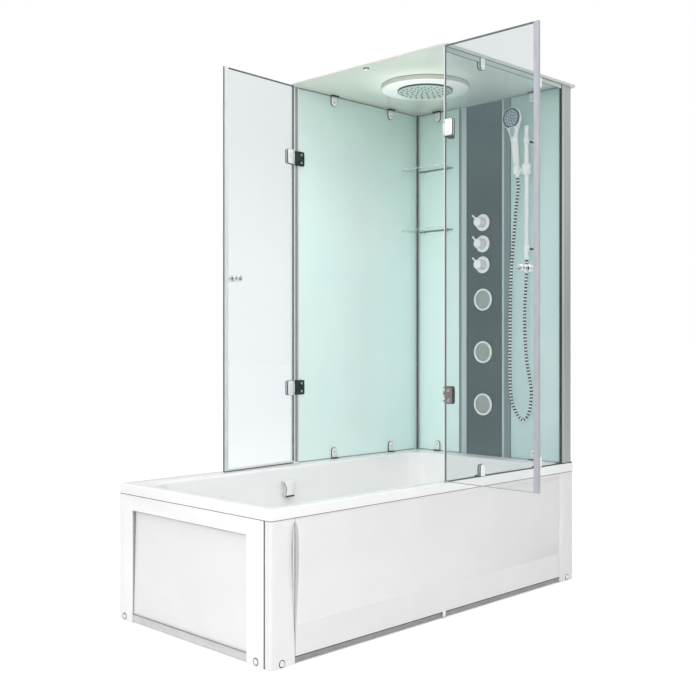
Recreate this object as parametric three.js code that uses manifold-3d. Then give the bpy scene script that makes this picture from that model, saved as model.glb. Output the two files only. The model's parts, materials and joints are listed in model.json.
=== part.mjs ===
// Tub and shower unit: an acrylic bath with a glass shower cabin over its right half.
// Millimetres, +Z up, origin on the floor under the middle of the bath, front along -Y.

import * as THREE from "three";
import { mergeVertices } from "three/addons/utils/BufferGeometryUtils.js";
import Module from "manifold-3d";

const wasm = await Module();
wasm.setup();

// Clearances and facets
const fit = 0.3; // between pieces that touch
const overrun = 3; // how far a cutter runs past a face
const lap = 1; // how far joined bodies run into each other
const edge = 2; // chamfer of turned pieces and posts
const fine = 20; // sides of large round pieces
const round = 12; // sides of small round pieces
const ringSides = 36; // sides of the rain ring
const small = 8; // sides of bolts and their holes
const cornerSteps = 4; // steps of a rounded corner
const tubSteps = 5; // steps of the basin's corners

// Bath
const bathLength = 1700;
const bathWidth = 844;
const rimHeight = 495;
const rimLip = 35;
const rimCorner = 9;
const rimEdge = 5;
const shell = 6;
const rimFront = 40;
const rimRear = 87;
const rimLeft = 38;
const rimRight = 135;
const rimRound = 12; // rounding of the rim's inner edge
const floorHeight = 100;
const slopeFront = 122; // how far the floor lies inside the rim's inner edge
const slopeRear = 95;
const slopeLeft = 172;
const slopeRight = 75;
const tubRadii = [45, 60, 110, 130]; // front left, front right, rear right, rear left
const floorRadius = 120;
const drainInset = 120; // from the floor's left edge
const drainHole = 26;
const overflowAcross = 57;
const overflowDrop = 33; // under the rim's top
const overflowHole = 12;

// Frame under the bath
const tubeSize = 25;
const footHeight = 3;
const footRadius = 24;
const crossFromDrain = 120; // from the drain's axis to the cross member
const centreFootSize = 60;

// Aprons
const apronSetback = 2;
const apronThickness = 6;
const apronGap = 2.5; // under the rim's lip
const apronBottom = 25;
const panelReturn = 6; // width of the flanges behind the front panel's ends
const seam = 0.6;
const coverWidth = 100;
const coverReturn = 33;
const scoopWidth = 31;
const scoopDepth = 14;
const scoopDrop = 12.5; // from the aprons' top edge to the hollow's
const scoopBottom = 20;
const bevelWidth = 15;
const bevelDepth = 5;
const fieldDrop = 53.5; // from the aprons' top edge to the field's
const fieldBottom = 32;
const fieldFrontLeg = 83; // leg between the field and the panel's front edge
const fieldRearLeg = 78;
const fieldDepthTop = 18;
const fieldDepthBottom = 8;
const fieldPillow = 3;

// Cabin
const glass = 6;
const cabinLeft = 850; // from the bath's left end to the door plane
const frontInset = 7.4; // from the bath's front to the fixed glass
const rearInset = 1;
const sideInset = 41; // from the bath's right end to the side wall's outer face
const glassLift = 2.5;
const cabinHeight = 1596.3; // height of the fixed glass
const roofThickness = 8;
const roofOverLeft = 15;
const roofOverRight = 56; // past the side wall's outer face
const roofOverFront = 15;
const roofOverRear = 4;
const roofCorner = 20;
const jambWidth = 40;
const jambDepth = 7;
const jambOut = 9; // how far the jamb stands left of the door plane
const cornerPost = 22;
const frontPostWidth = 77;
const frontPostEndInset = 4; // from the bath's right end
const frontPostInset = 4;
const frontPostDepth = 37;
const frontPostBevel = 15;
const frontPostStep = 20;
const frontPostFold = 6;
const frontPostWall = 5;

// Glass clamps
const clampWidth = 30;
const clampHeight = 48;
const clampThickness = 5;
const clampFoot = 18;
const rearClampShares = [0.294, 0.752]; // of the way from the door plane to the side wall
const frontClampShares = [0.272, 0.745];
const sideClampShares = [0.839, 0.204]; // of the way from the front to the rear

// Doors
const hingeOffset = 6; // from the hinge's axis to the middle of the door's glass
const barrel = 6;
const hingePin = 2.5;
const pinPlay = 0.3;
const knuckle = 35; // height of the door's knuckle
const leafHeight = 62;
const leafLength = 48;
const leafThickness = 4.7;
const leafCorner = 8;
const leafStart = 7; // full leaves start this far from the axis
const leafInnerStart = 12.5;
const boltRadius = 5;
const boltPlay = 0.5;
const boltAlong = 30;
const boltSpacing = 34;
const rearBoltInset = 12; // from the jamb to the bolts of the rear brackets
const leafMargin = 17; // from those bolts to the end of their leaf
const hingeLifts = [320, 1295];
const doorStart = 10;
const doorBottom = 6; // above the rim
const doorTop = 2; // under the roof
const leftDoorWidth = 403;
const rightDoorWidth = 416;
const leftDoorAngle = 85.6;
const rightDoorAngle = 180;
const sealWidth = 20;
const sealThickness = 10;
const sealCover = 16;
const knobInset = 55; // from the door's free edge
const knobLift = 766; // heights called lift are above the rim
const knobRadius = 12.5;
const knobLength = 33;
const knobNeck = 7;
const knobBase = 9;
const knobFlare = 3;
const stopRadius = 8;
const stopHeight = 14;

// Rain shower
const rainShare = 0.4722; // of the way from the door plane to the side wall
const rainY = 8;
const rainRadius = 184;
const rainBodyHeight = 21;
const rainBodyStep = 5;
const rainPlate = 116;
const rainPlateHeight = 10;
const feedRadius = 10;

// Shelves
const shelfDepth = 115;
const shelfLength = 220;
const shelfThickness = 8;
const shelfCorner = 30;
const shelfLifts = [1035, 1322];

// Column
const columnRear = 158;
const columnFront = -131;
const columnStripRear = 43;
const columnStripFront = 48;
const columnDepth = 40;
const columnWall = 3;
const columnLip = 15;
const columnDrop = 3.8; // from the top of the glass to the column's top
const mixerAcross = 20;
const mixerWidth = 40;
const mixerSetback = 12; // from the wall's inner face
const mixerLift = 195;
const mixerHeight = 910;
const strapHeight = 40;
const strapClearance = 30; // from the mixer block to the straps
const valveAcross = 22;
const valveLifts = [1055, 958, 863];
const valveNames = ["upper", "middle", "lower"];
const rosetteRadius = 38.5;
const rosetteThickness = 6;
const handleRadius = 21;
const handleLength = 39;
const handleBore = 22; // depth of the bore that sits on the stem
const stemRadius = 6;
const leverRadius = 3.5;
const leverReach = 46;
const leverPlace = 11; // from the handle's front face
const jetAcross = 19;
const jetLifts = [705, 467, 230];
const jetNames = ["upper", "middle", "lower"];
const jetRadius = 50;
const jetBand = 8;
const jetThickness = 9;
const jetRecess = 2;
const jetNipple = 10;

// Hand shower
const railAcross = -253;
const railStandoff = 55; // from the side wall to the rail's axis
const railRadius = 9;
const railDrop = 153.8; // from the top of the glass to the rail's top
const railLength = 578;
const bracketInsets = [49, 66]; // from the rail's lower and upper end
const bracketRadius = 13;
const bracketPad = 20;
const bracketPadThickness = 6;
const sliderHeight = 46;
const sliderRadius = 19;
const sliderDrop = 188; // from the rail's top
const armRadius = 8;
const holderRadius = 17;
const holderHeight = 34;
const holderAcross = 50; // from the rail's axis to the handset's axis
const handsetLean = 5.6; // degrees towards the rear
const handleTip = 9; // how far the handset's tail stands under the holder
const gripTop = 190; // from the holder's middle to the head's lower edge
const gripTailRadius = 10;
const gripRadius = 17;
const gripFlatShare = 0.72; // depth of the grip's oval to its width
const headRise = 232; // from the holder's middle to the head's centre
const headRadius = 47;
const headThickness = 20;
const faceRadius = 40;
const faceThickness = 4;
const headShoulder = 8; // chamfer at the back of the head
const headBack = 6;
const sprayBevel = 6;

// Hose
const hoseRadius = 7.2;
const hoseGroove = 1.2;
const hoseBore = 4;
const hoseRibs = 148;
const hoseSides = 8;

// Spout, knob and waste
const spoutPlace = -134;
const spoutDrop = 51; // from the rim's top to the spout's
const spoutHeight = 64;
const spoutWidth = 56; // at its top
const spoutFoot = 46;
const spoutWaist = 39;
const spoutDepth = 25;
const spoutMouth = 12;
const spoutLip = 3;
const spoutWall = 6;
const spoutTaperShare = 0.15; // how much shallower the spout is at its top
const overflowKnob = 26;
const overflowKnobDepth = 19;
const overflowStub = 10;
const flangeRadius = 34;
const flangeThickness = 2.5;
const wasteRadius = 25;
const wasteBore = 18;
const wasteBottom = 20;
const wasteCup = 32.8;
const outletHeight = 48;
const outletRadius = 16;
const outletWall = 3;
const outletDepth = 24; // depth of the outlet's bore
const overflowPipe = 8;
const plugRadius = 30;
const plugThickness = 4;
const plugStem = 6;
const plugCrownShare = 0.6; // radius of the plug's flat crown

// Worked out from the sizes above
const left = -bathLength / 2;
const right = bathLength / 2;
const front = -bathWidth / 2;
const rear = bathWidth / 2;
const rim = { x0: left + rimLeft, x1: right - rimRight, y0: front + rimFront, y1: rear - rimRear };
const doorPlane = left + cabinLeft;
const frontFace = front + frontInset; // outer face of the fixed front glass
const frontInner = frontFace + glass;
const rearInner = rear - rearInset - glass;
const sideOuter = right - sideInset;
const sideInner = sideOuter - glass;
const glassBottom = rimHeight + glassLift;
const glassTop = glassBottom + cabinHeight;
const columnTop = glassTop - columnDrop;
const frontPostRight = right - frontPostEndInset;
const frontPostLeft = frontPostRight - frontPostWidth;
const rearClampPlaces = rearClampShares.map((share) => THREE.MathUtils.lerp(doorPlane, sideOuter, share));
const frontClampPlaces = frontClampShares.map((share) => THREE.MathUtils.lerp(doorPlane, sideOuter, share));
const sideClampPlaces = sideClampShares.map((share) => THREE.MathUtils.lerp(front, rear, share));
const rainX = THREE.MathUtils.lerp(doorPlane, sideOuter, rainShare);
const roofBottom = glassTop + fit;
const roofTop = roofBottom + roofThickness;
const above = (lift) => rimHeight + lift;
const knobHeight = above(knobLift);
const hingeHeights = hingeLifts.map(above);
const shelfHeights = shelfLifts.map(above);
const mixerBottom = above(mixerLift);
const mixerTop = mixerBottom + mixerHeight;
const strapOffset = strapClearance + strapHeight / 2;
const strapHeights = [mixerBottom - strapOffset, mixerTop + strapOffset];
const valveHeights = valveLifts.map(above);
const jetHeights = jetLifts.map(above);
const railTop = glassTop - railDrop;
const railBottom = railTop - railLength;
const bracketHeights = [railBottom + bracketInsets[0], railTop - bracketInsets[1]];
const sliderPlace = railTop - sliderDrop;
const apronFront = front + apronSetback;
const apronLeft = left + apronSetback;
const apronRight = right - apronSetback;
const apronTop = rimHeight - rimLip - apronGap;
const scoopTop = apronTop - scoopDrop;
const fieldTop = apronTop - fieldDrop;
const frameInset = apronSetback + apronThickness + fit;
const axisX = doorPlane - hingeOffset;
const rightAxisY = frontFace;
const leftAxisY = rearInner - barrel - 3 * fit;
const railX = sideInner - railStandoff;
const handsetY = railAcross + holderAcross;
const drainX = rim.x0 + slopeLeft + drainInset;
const drainY = (rim.y0 + slopeFront + rim.y1 - slopeRear) / 2;
const mixerFront = sideInner + mixerSetback;

// Materials
const paint = (color, roughness, metalness = 0) => new THREE.MeshStandardMaterial({ color, roughness, metalness });
const acrylic = paint("#f4f5f4", 0.15);
const whitePlastic = paint("#eef0ef", 0.3);
const steel = paint("#9a9d9c", 0.45, 0.6);
const aluminium = paint("#a6a8a8", 0.35, 0.8);
const chrome = paint("#d8dcde", 0.08, 1);
const darkGlass = paint("#5f666a", 0.1);
const clearGlass = new THREE.MeshStandardMaterial({
  color: "#cfe8df",
  roughness: 0.05,
  transparent: true,
  opacity: 0.35,
});
const blackPlastic = paint("#1b1c1d", 0.5);
const brass = paint("#b08d57", 0.4, 0.9);
const jetFace = paint("#8d9a95", 0.35);
const sealPlastic = paint("#e4ece9", 0.4);

const unit = new THREE.Group();

// Closed bodies

function solid(geometry) {
  const bare = geometry.index ? geometry.clone() : mergeVertices(geometry.clone());
  bare.deleteAttribute("normal");
  bare.deleteAttribute("uv");
  const merged = mergeVertices(bare, 1e-4);
  const vertProperties = new Float32Array(merged.attributes.position.array);
  const triVerts = new Uint32Array(merged.index.array);
  return new wasm.Manifold(new wasm.Mesh({ numProp: 3, vertProperties, triVerts }));
}

function geometryOf(body) {
  const mesh = body.getMesh();
  const geometry = new THREE.BufferGeometry();
  geometry.setAttribute("position", new THREE.BufferAttribute(new Float32Array(mesh.vertProperties), 3));
  geometry.setIndex(new THREE.BufferAttribute(new Uint32Array(mesh.triVerts), 1));
  geometry.computeVertexNormals();
  return geometry;
}

const join = (first, ...others) => geometryOf(others.reduce((sum, g) => sum.add(solid(g)), solid(first)));
const cut = (first, ...tools) => geometryOf(tools.reduce((rest, g) => rest.subtract(solid(g)), solid(first)));

function piece(name, geometry, material, group = unit) {
  const mesh = new THREE.Mesh(geometry, material);
  mesh.name = name;
  group.add(mesh);
  return mesh;
}

// Shapes

function block(x0, x1, y0, y1, z0, z1) {
  const box = new THREE.BoxGeometry(x1 - x0, y1 - y0, z1 - z0);
  return box.translate((x0 + x1) / 2, (y0 + y1) / 2, (z0 + z1) / 2);
}

// A round body about an axis; its profile is a list of [radius, place along the axis]
function turned(profile, axis, across, sides = fine) {
  const points = profile.map(([radius, along]) => new THREE.Vector2(radius, along));
  const body = new THREE.LatheGeometry(points, sides);
  if (axis === "z") return body.rotateX(Math.PI / 2).translate(across[0], across[1], 0);
  if (axis === "x") return body.rotateZ(-Math.PI / 2).translate(0, across[0], across[1]);
  return body.translate(across[0], 0, across[1]);
}

const rod = (radius, from, to, axis, across, sides = round) =>
  turned([[0, from], [radius, from], [radius, to], [0, to]], axis, across, sides);

// A cutter for a round hole, whose flats still clear a pin of that radius
const hole = (radius, from, to, axis, across, sides = round) =>
  rod(radius / Math.cos(Math.PI / sides), from, to, axis, across, sides);

// A closed skin through rings of 2D points, each ring at its own place along the axis
function loft(rings, axis) {
  const place = {
    x: (u, v, h) => [h, u, v],
    y: (u, v, h) => [u, h, v],
    z: (u, v, h) => [u, v, h],
  }[axis];
  const count = rings[0].points.length;
  const flat = (ring) => ring.points.map(([u, v]) => new THREE.Vector2(u, v));
  if (THREE.ShapeUtils.area(flat(rings[0])) < 0) {
    return loft(rings.map(({ points, at }) => ({ points: points.toReversed(), at })), axis);
  }
  const positions = rings.flatMap(({ points, at }) => points.flatMap(([u, v]) => place(u, v, at)));
  const faces = [];
  for (let level = 0; level + 1 < rings.length; level += 1) {
    for (let i = 0; i < count; i += 1) {
      const a = level * count + i;
      const b = level * count + ((i + 1) % count);
      faces.push(a, b, b + count, a, b + count, a + count);
    }
  }
  const cap = (ring) => THREE.ShapeUtils.triangulateShape(flat(ring), []);
  const last = (rings.length - 1) * count;
  for (const [a, b, c] of cap(rings[0])) faces.push(a, c, b);
  for (const [a, b, c] of cap(rings.at(-1))) faces.push(last + a, last + b, last + c);
  const geometry = new THREE.BufferGeometry();
  geometry.setAttribute("position", new THREE.Float32BufferAttribute(positions, 3));
  geometry.setIndex(faces);
  if (volume(geometry) < 0) geometry.index.array.reverse();
  return geometry;
}

function volume(geometry) {
  const p = geometry.attributes.position;
  const index = geometry.index.array;
  const corner = (i) => new THREE.Vector3().fromBufferAttribute(p, index[i]);
  let sum = 0;
  for (let i = 0; i < index.length; i += 3) sum += corner(i).dot(corner(i + 1).cross(corner(i + 2)));
  return sum / 6;
}

// A rectangle with rounded corners, anticlockwise from its lower left corner
function rounded(u0, u1, v0, v1, radii, steps = cornerSteps) {
  const [a, b, c, d] = Array.isArray(radii) ? radii : [radii, radii, radii, radii];
  const corners = [[u0, v0, a, 1, 1, 2], [u1, v0, b, -1, 1, 3], [u1, v1, c, -1, -1, 0], [u0, v1, d, 1, -1, 1]];
  return corners.flatMap(([u, v, radius, du, dv, quarter]) => {
    if (radius <= 0) return [[u, v]];
    return Array.from({ length: steps + 1 }, (_, i) => {
      const angle = ((quarter + i / steps) * Math.PI) / 2;
      return [u + du * radius + radius * Math.cos(angle), v + dv * radius + radius * Math.sin(angle)];
    });
  });
}

const plate = (points, from, to, axis) => loft([{ points, at: from }, { points, at: to }], axis);

// A tube along a list of points, with one radius at each point
function tube(points, radii, sides = round) {
  const path = points.map((p) => (p.isVector3 ? p : new THREE.Vector3(...p)));
  const positions = [];
  let side = null;
  path.forEach((p, i) => {
    const before = path[Math.max(i - 1, 0)];
    const after = path[Math.min(i + 1, path.length - 1)];
    const along = after.clone().sub(before).normalize();
    if (!side) side = new THREE.Vector3(along.y, along.z, along.x);
    side = side.clone().addScaledVector(along, -side.dot(along)).normalize();
    const other = along.clone().cross(side);
    const radius = Array.isArray(radii) ? radii[i] : radii;
    for (let k = 0; k < sides; k += 1) {
      const angle = (k / sides) * 2 * Math.PI;
      const q = p.clone().addScaledVector(side, radius * Math.cos(angle));
      positions.push(...q.addScaledVector(other, radius * Math.sin(angle)));
    }
  });
  const faces = [];
  for (let i = 0; i + 1 < path.length; i += 1) {
    for (let k = 0; k < sides; k += 1) {
      const a = i * sides + k;
      const b = i * sides + ((k + 1) % sides);
      faces.push(a, b, b + sides, a, b + sides, a + sides);
    }
  }
  const last = (path.length - 1) * sides;
  for (let k = 1; k + 1 < sides; k += 1) faces.push(0, k + 1, k, last, last + k, last + k + 1);
  const geometry = new THREE.BufferGeometry();
  geometry.setAttribute("position", new THREE.Float32BufferAttribute(positions, 3));
  geometry.setIndex(faces);
  return geometry;
}

// Straight runs joined by bends of one radius
function pipe(points, bend, radius, sides = round) {
  const corners = points.map((p) => new THREE.Vector3(...p));
  const path = [corners[0]];
  for (let i = 1; i + 1 < corners.length; i += 1) {
    const start = corners[i].clone().add(corners[i - 1].clone().sub(corners[i]).setLength(bend));
    const end = corners[i].clone().add(corners[i + 1].clone().sub(corners[i]).setLength(bend));
    path.push(...new THREE.QuadraticBezierCurve3(start, corners[i], end).getPoints(cornerSteps));
  }
  path.push(corners.at(-1));
  return tube(path, radius, sides);
}

// Bath shell: rim with its lip, tapered basin, drain and overflow holes

const heightShares = [0, 0.03, 0.1, 0.22, 0.4, 0.62, 1]; // from the floor up to the rim's rounding
const slopeShares = [1, 0.88, 0.72, 0.54, 0.36, 0.2, 0]; // how far the wall still leans in there

function slopeAt(height) {
  const top = rimHeight - rimRound;
  const share = (height - floorHeight) / (top - floorHeight);
  const i = Math.max(0, Math.min(heightShares.findLastIndex((s) => s <= share), heightShares.length - 2));
  const between = (share - heightShares[i]) / (heightShares[i + 1] - heightShares[i]);
  return THREE.MathUtils.lerp(slopeShares[i], slopeShares[i + 1], between);
}

// The basin's outline: share 0 just under the rim's rounding, 1 at the floor, grown outwards by a wall
function basinRing(share, at, grow = 0, inset = rimRound) {
  const lean = (slope) => inset + share * (slope - rimRound) - grow;
  const radius = (r) => THREE.MathUtils.lerp(r - inset, floorRadius, share) + grow;
  const points = rounded(
    rim.x0 + lean(slopeLeft),
    rim.x1 - lean(slopeRight),
    rim.y0 + lean(slopeFront),
    rim.y1 - lean(slopeRear),
    tubRadii.map(radius),
    tubSteps,
  );
  return { points, at };
}

const leftWallX = (height) => rim.x0 + rimRound + slopeAt(height) * (slopeLeft - rimRound);
const rearWallY = (height) => rim.y1 - rimRound - slopeAt(height) * (slopeRear - rimRound);

function bathShell() {
  const outline = (inset, at, corner = rimCorner) => ({
    points: rounded(left + inset, right - inset, front + inset, rear - inset, corner),
    at,
  });
  const lowerRim = rimHeight - rimLip;
  const slab = loft(
    [
      outline(0, lowerRim),
      outline(0, rimHeight - rimEdge),
      outline(rimEdge * (1 - Math.SQRT1_2), rimHeight - rimEdge * (1 - Math.SQRT1_2)),
      outline(rimEdge, rimHeight),
    ],
    "z",
  );
  const inside = rimCorner - shell;
  const pocket = loft(
    [outline(shell, lowerRim - overrun, inside), outline(shell, rimHeight - shell, inside)],
    "z",
  );
  const wallTop = rimHeight - rimRound;
  const levels = heightShares.map((s) => THREE.MathUtils.lerp(floorHeight, wallTop, s));
  const half = 1 - Math.SQRT1_2;
  const inner = loft(
    [
      ...levels.map((z, i) => basinRing(slopeShares[i], z)),
      basinRing(0, rimHeight - rimRound * half, 0, rimRound * Math.SQRT1_2),
      basinRing(0, rimHeight, 0, 0),
      basinRing(0, rimHeight + overrun, 0, 0),
    ],
    "z",
  );
  const outer = loft(
    [
      ...levels.map((z, i) => basinRing(slopeShares[i], z - shell * slopeShares[i], shell)),
      basinRing(0, rimHeight - shell / 2, shell, rimRound * Math.SQRT1_2),
    ],
    "z",
  );
  const drain = hole(drainHole, floorHeight - shell - overrun, floorHeight + overrun, "z", [drainX, drainY], fine);
  const overflowZ = rimHeight - overflowDrop;
  const overflow = hole(overflowHole, left + rimLeft / 2, rim.x0 + slopeLeft, "x", [overflowAcross, overflowZ]);
  return cut(join(cut(slab, pocket), outer), inner, drain, overflow);
}

piece("bath_shell", bathShell(), acrylic);

// Frame: plinth rails, uprights under the rim, cross members and feet

function supportFrame() {
  const x0 = left + frameInset;
  const x1 = right - frameInset;
  const y0 = front + frameInset;
  const y1 = rear - frameInset;
  const base = footHeight;
  const railTopZ = base + tubeSize;
  const under = rimHeight - shell - fit;
  const crossTop = floorHeight - shell - fit;
  const crossX = -drainX - crossFromDrain;
  const half = tubeSize / 2;
  const parts = [
    block(x0, x1, y0, y0 + tubeSize, base, railTopZ),
    block(x0, x1, y1 - tubeSize, y1, base, railTopZ),
    block(x0, x0 + tubeSize, y0, y1, base, railTopZ),
    block(x1 - tubeSize, x1, y0, y1, base, railTopZ),
  ];
  for (const x of [x0, -half, x1 - tubeSize]) {
    parts.push(block(x, x + tubeSize, y0, y0 + tubeSize, base, under));
    parts.push(block(x, x + tubeSize, y1 - tubeSize, y1, base, under));
  }
  for (const x of [-crossX, crossX]) {
    parts.push(block(x - half, x + half, y0, y1, crossTop - tubeSize, crossTop));
    parts.push(block(x - half, x + half, y0, y0 + tubeSize, base, crossTop));
    parts.push(block(x - half, x + half, y1 - tubeSize, y1, base, crossTop));
  }
  parts.push(block(-crossX, crossX, -half, half, crossTop - tubeSize, crossTop));
  parts.push(block(-half, half, -half, half, 0, crossTop));
  const pad = centreFootSize / 2;
  parts.push(plate(rounded(-pad, pad, -pad, pad, footHeight * 2), 0, footHeight * 2, "z"));
  for (const x of [x0 + footRadius, 0, x1 - footRadius]) {
    for (const y of [y0 + footRadius, y1 - footRadius]) {
      parts.push(rod(footRadius, 0, base + footHeight, "z", [x, y], small));
    }
  }
  return join(...parts);
}

piece("support_frame", supportFrame(), steel);

// Aprons: a lens-shaped hollow runs down each seam between the front panel and a corner cover

const lensSteps = 8;
const lensRise = 1.75; // the lens is deepest near its top
const lensFall = 0.5;
const lensPeak = (lensRise / (lensRise + lensFall)) ** lensRise * (lensFall / (lensRise + lensFall)) ** lensFall;
const lensAt = (share) => (share ** lensRise * (1 - share) ** lensFall) / lensPeak;
const lensHeights = Array.from({ length: lensSteps + 1 }, (_, i) => ({
  z: THREE.MathUtils.lerp(scoopBottom, scoopTop, i / lensSteps),
  depth: lensAt(i / lensSteps),
}));
const seamLeft = apronLeft + coverWidth;
const seamRight = apronRight - coverWidth;

function frontPanel() {
  const x0 = seamLeft + seam;
  const x1 = seamRight - seam;
  const heights = [{ z: apronBottom, depth: 0 }];
  heights.push(...lensHeights.filter(({ z }) => z > apronBottom), { z: apronTop, depth: 0 });
  const outline = (width) => [
    ...heights.map(({ z, depth }) => [x1 - width * depth, z]),
    ...heights.toReversed().map(({ z, depth }) => [x0 + width * depth, z]),
  ];
  const panel = loft(
    [
      { points: outline(bevelWidth), at: apronFront },
      { points: outline(bevelWidth / 3), at: apronFront + bevelDepth / 2 },
      { points: outline(0), at: apronFront + bevelDepth },
      { points: outline(0), at: apronFront + apronThickness },
    ],
    "y",
  );
  const flange = (from, to) => block(
    from, to, apronFront + apronThickness - lap, apronFront + scoopDepth,
    footHeight + tubeSize + fit, apronTop,
  );
  return join(panel, flange(x0, x0 + panelReturn), flange(x1 - panelReturn, x1));
}

piece("front_panel", frontPanel(), acrylic);

function cornerCover(mirror) {
  const wrapRear = front + coverReturn;
  const inner = apronLeft + apronThickness;
  const back = apronFront + apronThickness;
  const section = (depth) => {
    const lip = 2 * seam + scoopWidth * depth;
    const corner = Array.from({ length: cornerSteps + 1 }, (_, i) => {
      const angle = Math.PI * (1 + i / cornerSteps / 2);
      return [
        apronLeft + rimCorner + rimCorner * Math.cos(angle),
        apronFront + rimCorner + rimCorner * Math.sin(angle),
      ];
    });
    return [
      [apronLeft, wrapRear],
      ...corner,
      [seamLeft - lip, apronFront],
      [seamLeft - lip / 3, apronFront + (scoopDepth * depth) / 2],
      [seamLeft, apronFront + scoopDepth * depth],
      [seamLeft, back + scoopDepth * depth],
      [seamLeft - lip / 3, back + (scoopDepth * depth) / 2],
      [seamLeft - lip, back],
      [inner, back],
      [inner, wrapRear],
    ].map(([x, y]) => [mirror * x, y]);
  };
  const levels = [{ z: 0, depth: 0 }, ...lensHeights, { z: apronTop, depth: 0 }];
  return loft(levels.map(({ z, depth }) => ({ points: section(depth), at: z })), "z");
}

piece("corner_cover_front_left", cornerCover(1), acrylic);
piece("corner_cover_front_right", cornerCover(-1), acrylic);

// Left end panel: legs, top band and a leaning, slightly pillowed field

function endPanel() {
  const x0 = apronLeft;
  const x1 = apronLeft + apronThickness;
  const y0 = front + coverReturn + seam;
  const y1 = rear - apronSetback;
  const f0 = y0 + fieldFrontLeg;
  const f1 = y1 - fieldRearLeg;
  const slab = block(x0, x1, y0, y1, 0, apronTop);
  const window = block(x0 - overrun, x1 + overrun, f0, f1, -overrun, fieldTop);
  const steps = 5;
  const rings = Array.from({ length: steps + 1 }, (_, i) => {
    const across = i / steps;
    const face = Array.from({ length: steps + 1 }, (_, k) => {
      const up = k / steps;
      const lean = THREE.MathUtils.lerp(fieldDepthBottom, fieldDepthTop, up);
      const pillow = fieldPillow * Math.sin(Math.PI * across) * Math.sin(Math.PI * up);
      return [x0 + lean - pillow, THREE.MathUtils.lerp(fieldBottom, fieldTop + apronThickness / 2, up)];
    });
    const back = face.toReversed().map(([x, z]) => [x + apronThickness, z]);
    const at = THREE.MathUtils.lerp(f0 - apronThickness / 2, f1 + apronThickness / 2, across);
    return { points: [...face, ...back], at };
  });
  const field = loft(rings, "y");
  const cheek = [
    [x0, fieldBottom],
    [x0 + fieldDepthBottom + apronThickness, fieldBottom],
    [x0 + fieldDepthTop + apronThickness, fieldTop + apronThickness],
    [x0, fieldTop + apronThickness],
  ];
  const shelf = block(
    x0, x0 + fieldDepthTop + apronThickness,
    f0 - apronThickness, f1 + apronThickness,
    fieldTop, fieldTop + apronThickness,
  );
  return join(
    cut(slab, window),
    field,
    plate(cheek, f0 - apronThickness, f0, "y"),
    plate(cheek, f1, f1 + apronThickness, "y"),
    shelf,
  );
}

piece("end_panel_left", endPanel(), acrylic);

// Waste set: drain flange and trap with its outlet, overflow pipe and stub

const overflowZ = rimHeight - overflowDrop;
const overflowBack = leftWallX(rimHeight - rimRound) - shell - fit;
const knobBack = leftWallX(overflowZ - overflowKnob) + fit;
const knobFront = knobBack + overflowKnobDepth;

function bathWaste() {
  const under = floorHeight - shell - fit;
  const over = floorHeight + fit;
  const cup = turned(
    [
      [0, wasteBottom],
      [wasteCup, wasteBottom],
      [wasteCup, outletHeight + outletRadius],
      [flangeRadius, under - shell],
      [flangeRadius, under],
      [wasteRadius, under],
      [wasteRadius, over],
      [flangeRadius, over],
      [flangeRadius - flangeThickness / 2, over + flangeThickness],
      [wasteBore, over + flangeThickness],
      [wasteBore, outletHeight],
      [0, outletHeight],
    ],
    "z",
    [drainX, drainY],
  );
  const outlet = rod(outletRadius, drainY, rear - apronSetback, "y", [drainX, outletHeight]);
  const outletBore = hole(
    outletRadius - outletWall, rear - apronSetback - outletDepth, rear + overrun, "y", [drainX, outletHeight],
  );
  const tail = overflowBack - overflowPipe;
  const rise = pipe(
    [
      [drainX, drainY, outletHeight],
      [rim.x0 + rimLeft, overflowAcross, outletHeight],
      [tail, overflowAcross, rimHeight - rimLip - overflowPipe],
      [tail, overflowAcross, overflowZ],
    ],
    overflowPipe,
    overflowPipe,
    small,
  );
  const housing = rod(
    overflowDrop - rimRound, tail - overflowPipe, overflowBack, "x", [overflowAcross, overflowZ],
  );
  const stub = rod(
    overflowStub, tail, knobBack + overflowKnobDepth / 2, "x", [overflowAcross, overflowZ], small,
  );
  return join(cut(join(cup, outlet), outletBore), rise, housing, stub);
}

piece("bath_waste", bathWaste(), blackPlastic);

const knobBody = turned(
  [[0, knobBack], [overflowKnob - edge, knobBack], [overflowKnob, knobBack + edge],
    [overflowKnob, knobFront - 2 * edge], [overflowKnob - 2 * edge, knobFront], [0, knobFront]],
  "x",
  [overflowAcross, overflowZ],
);
const knobBoreEnd = knobBack + overflowKnobDepth / 2 + fit;
const knobSocket = hole(overflowStub + fit, knobBack - overrun, knobBoreEnd, "x", [overflowAcross, overflowZ]);
piece("overflow_knob", cut(knobBody, knobSocket), chrome);

const plugSeat = floorHeight + fit + flangeThickness + fit;
const plugFoot = outletHeight + outletRadius + 2 * fit;
const plug = turned(
  [
    [0, plugFoot],
    [plugStem, plugFoot],
    [plugStem, plugSeat],
    [plugRadius, plugSeat],
    [plugRadius, plugSeat + plugThickness / 2],
    [plugRadius * plugCrownShare, plugSeat + plugThickness],
    [0, plugSeat + plugThickness],
  ],
  "z",
  [drainX, drainY],
);
piece("drain_plug", plug, chrome);

// Spout: an hourglass plate on the rear wall of the basin, open at its foot

const spoutTop = rimHeight - spoutDrop;
const spoutBottom = spoutTop - spoutHeight;

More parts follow.
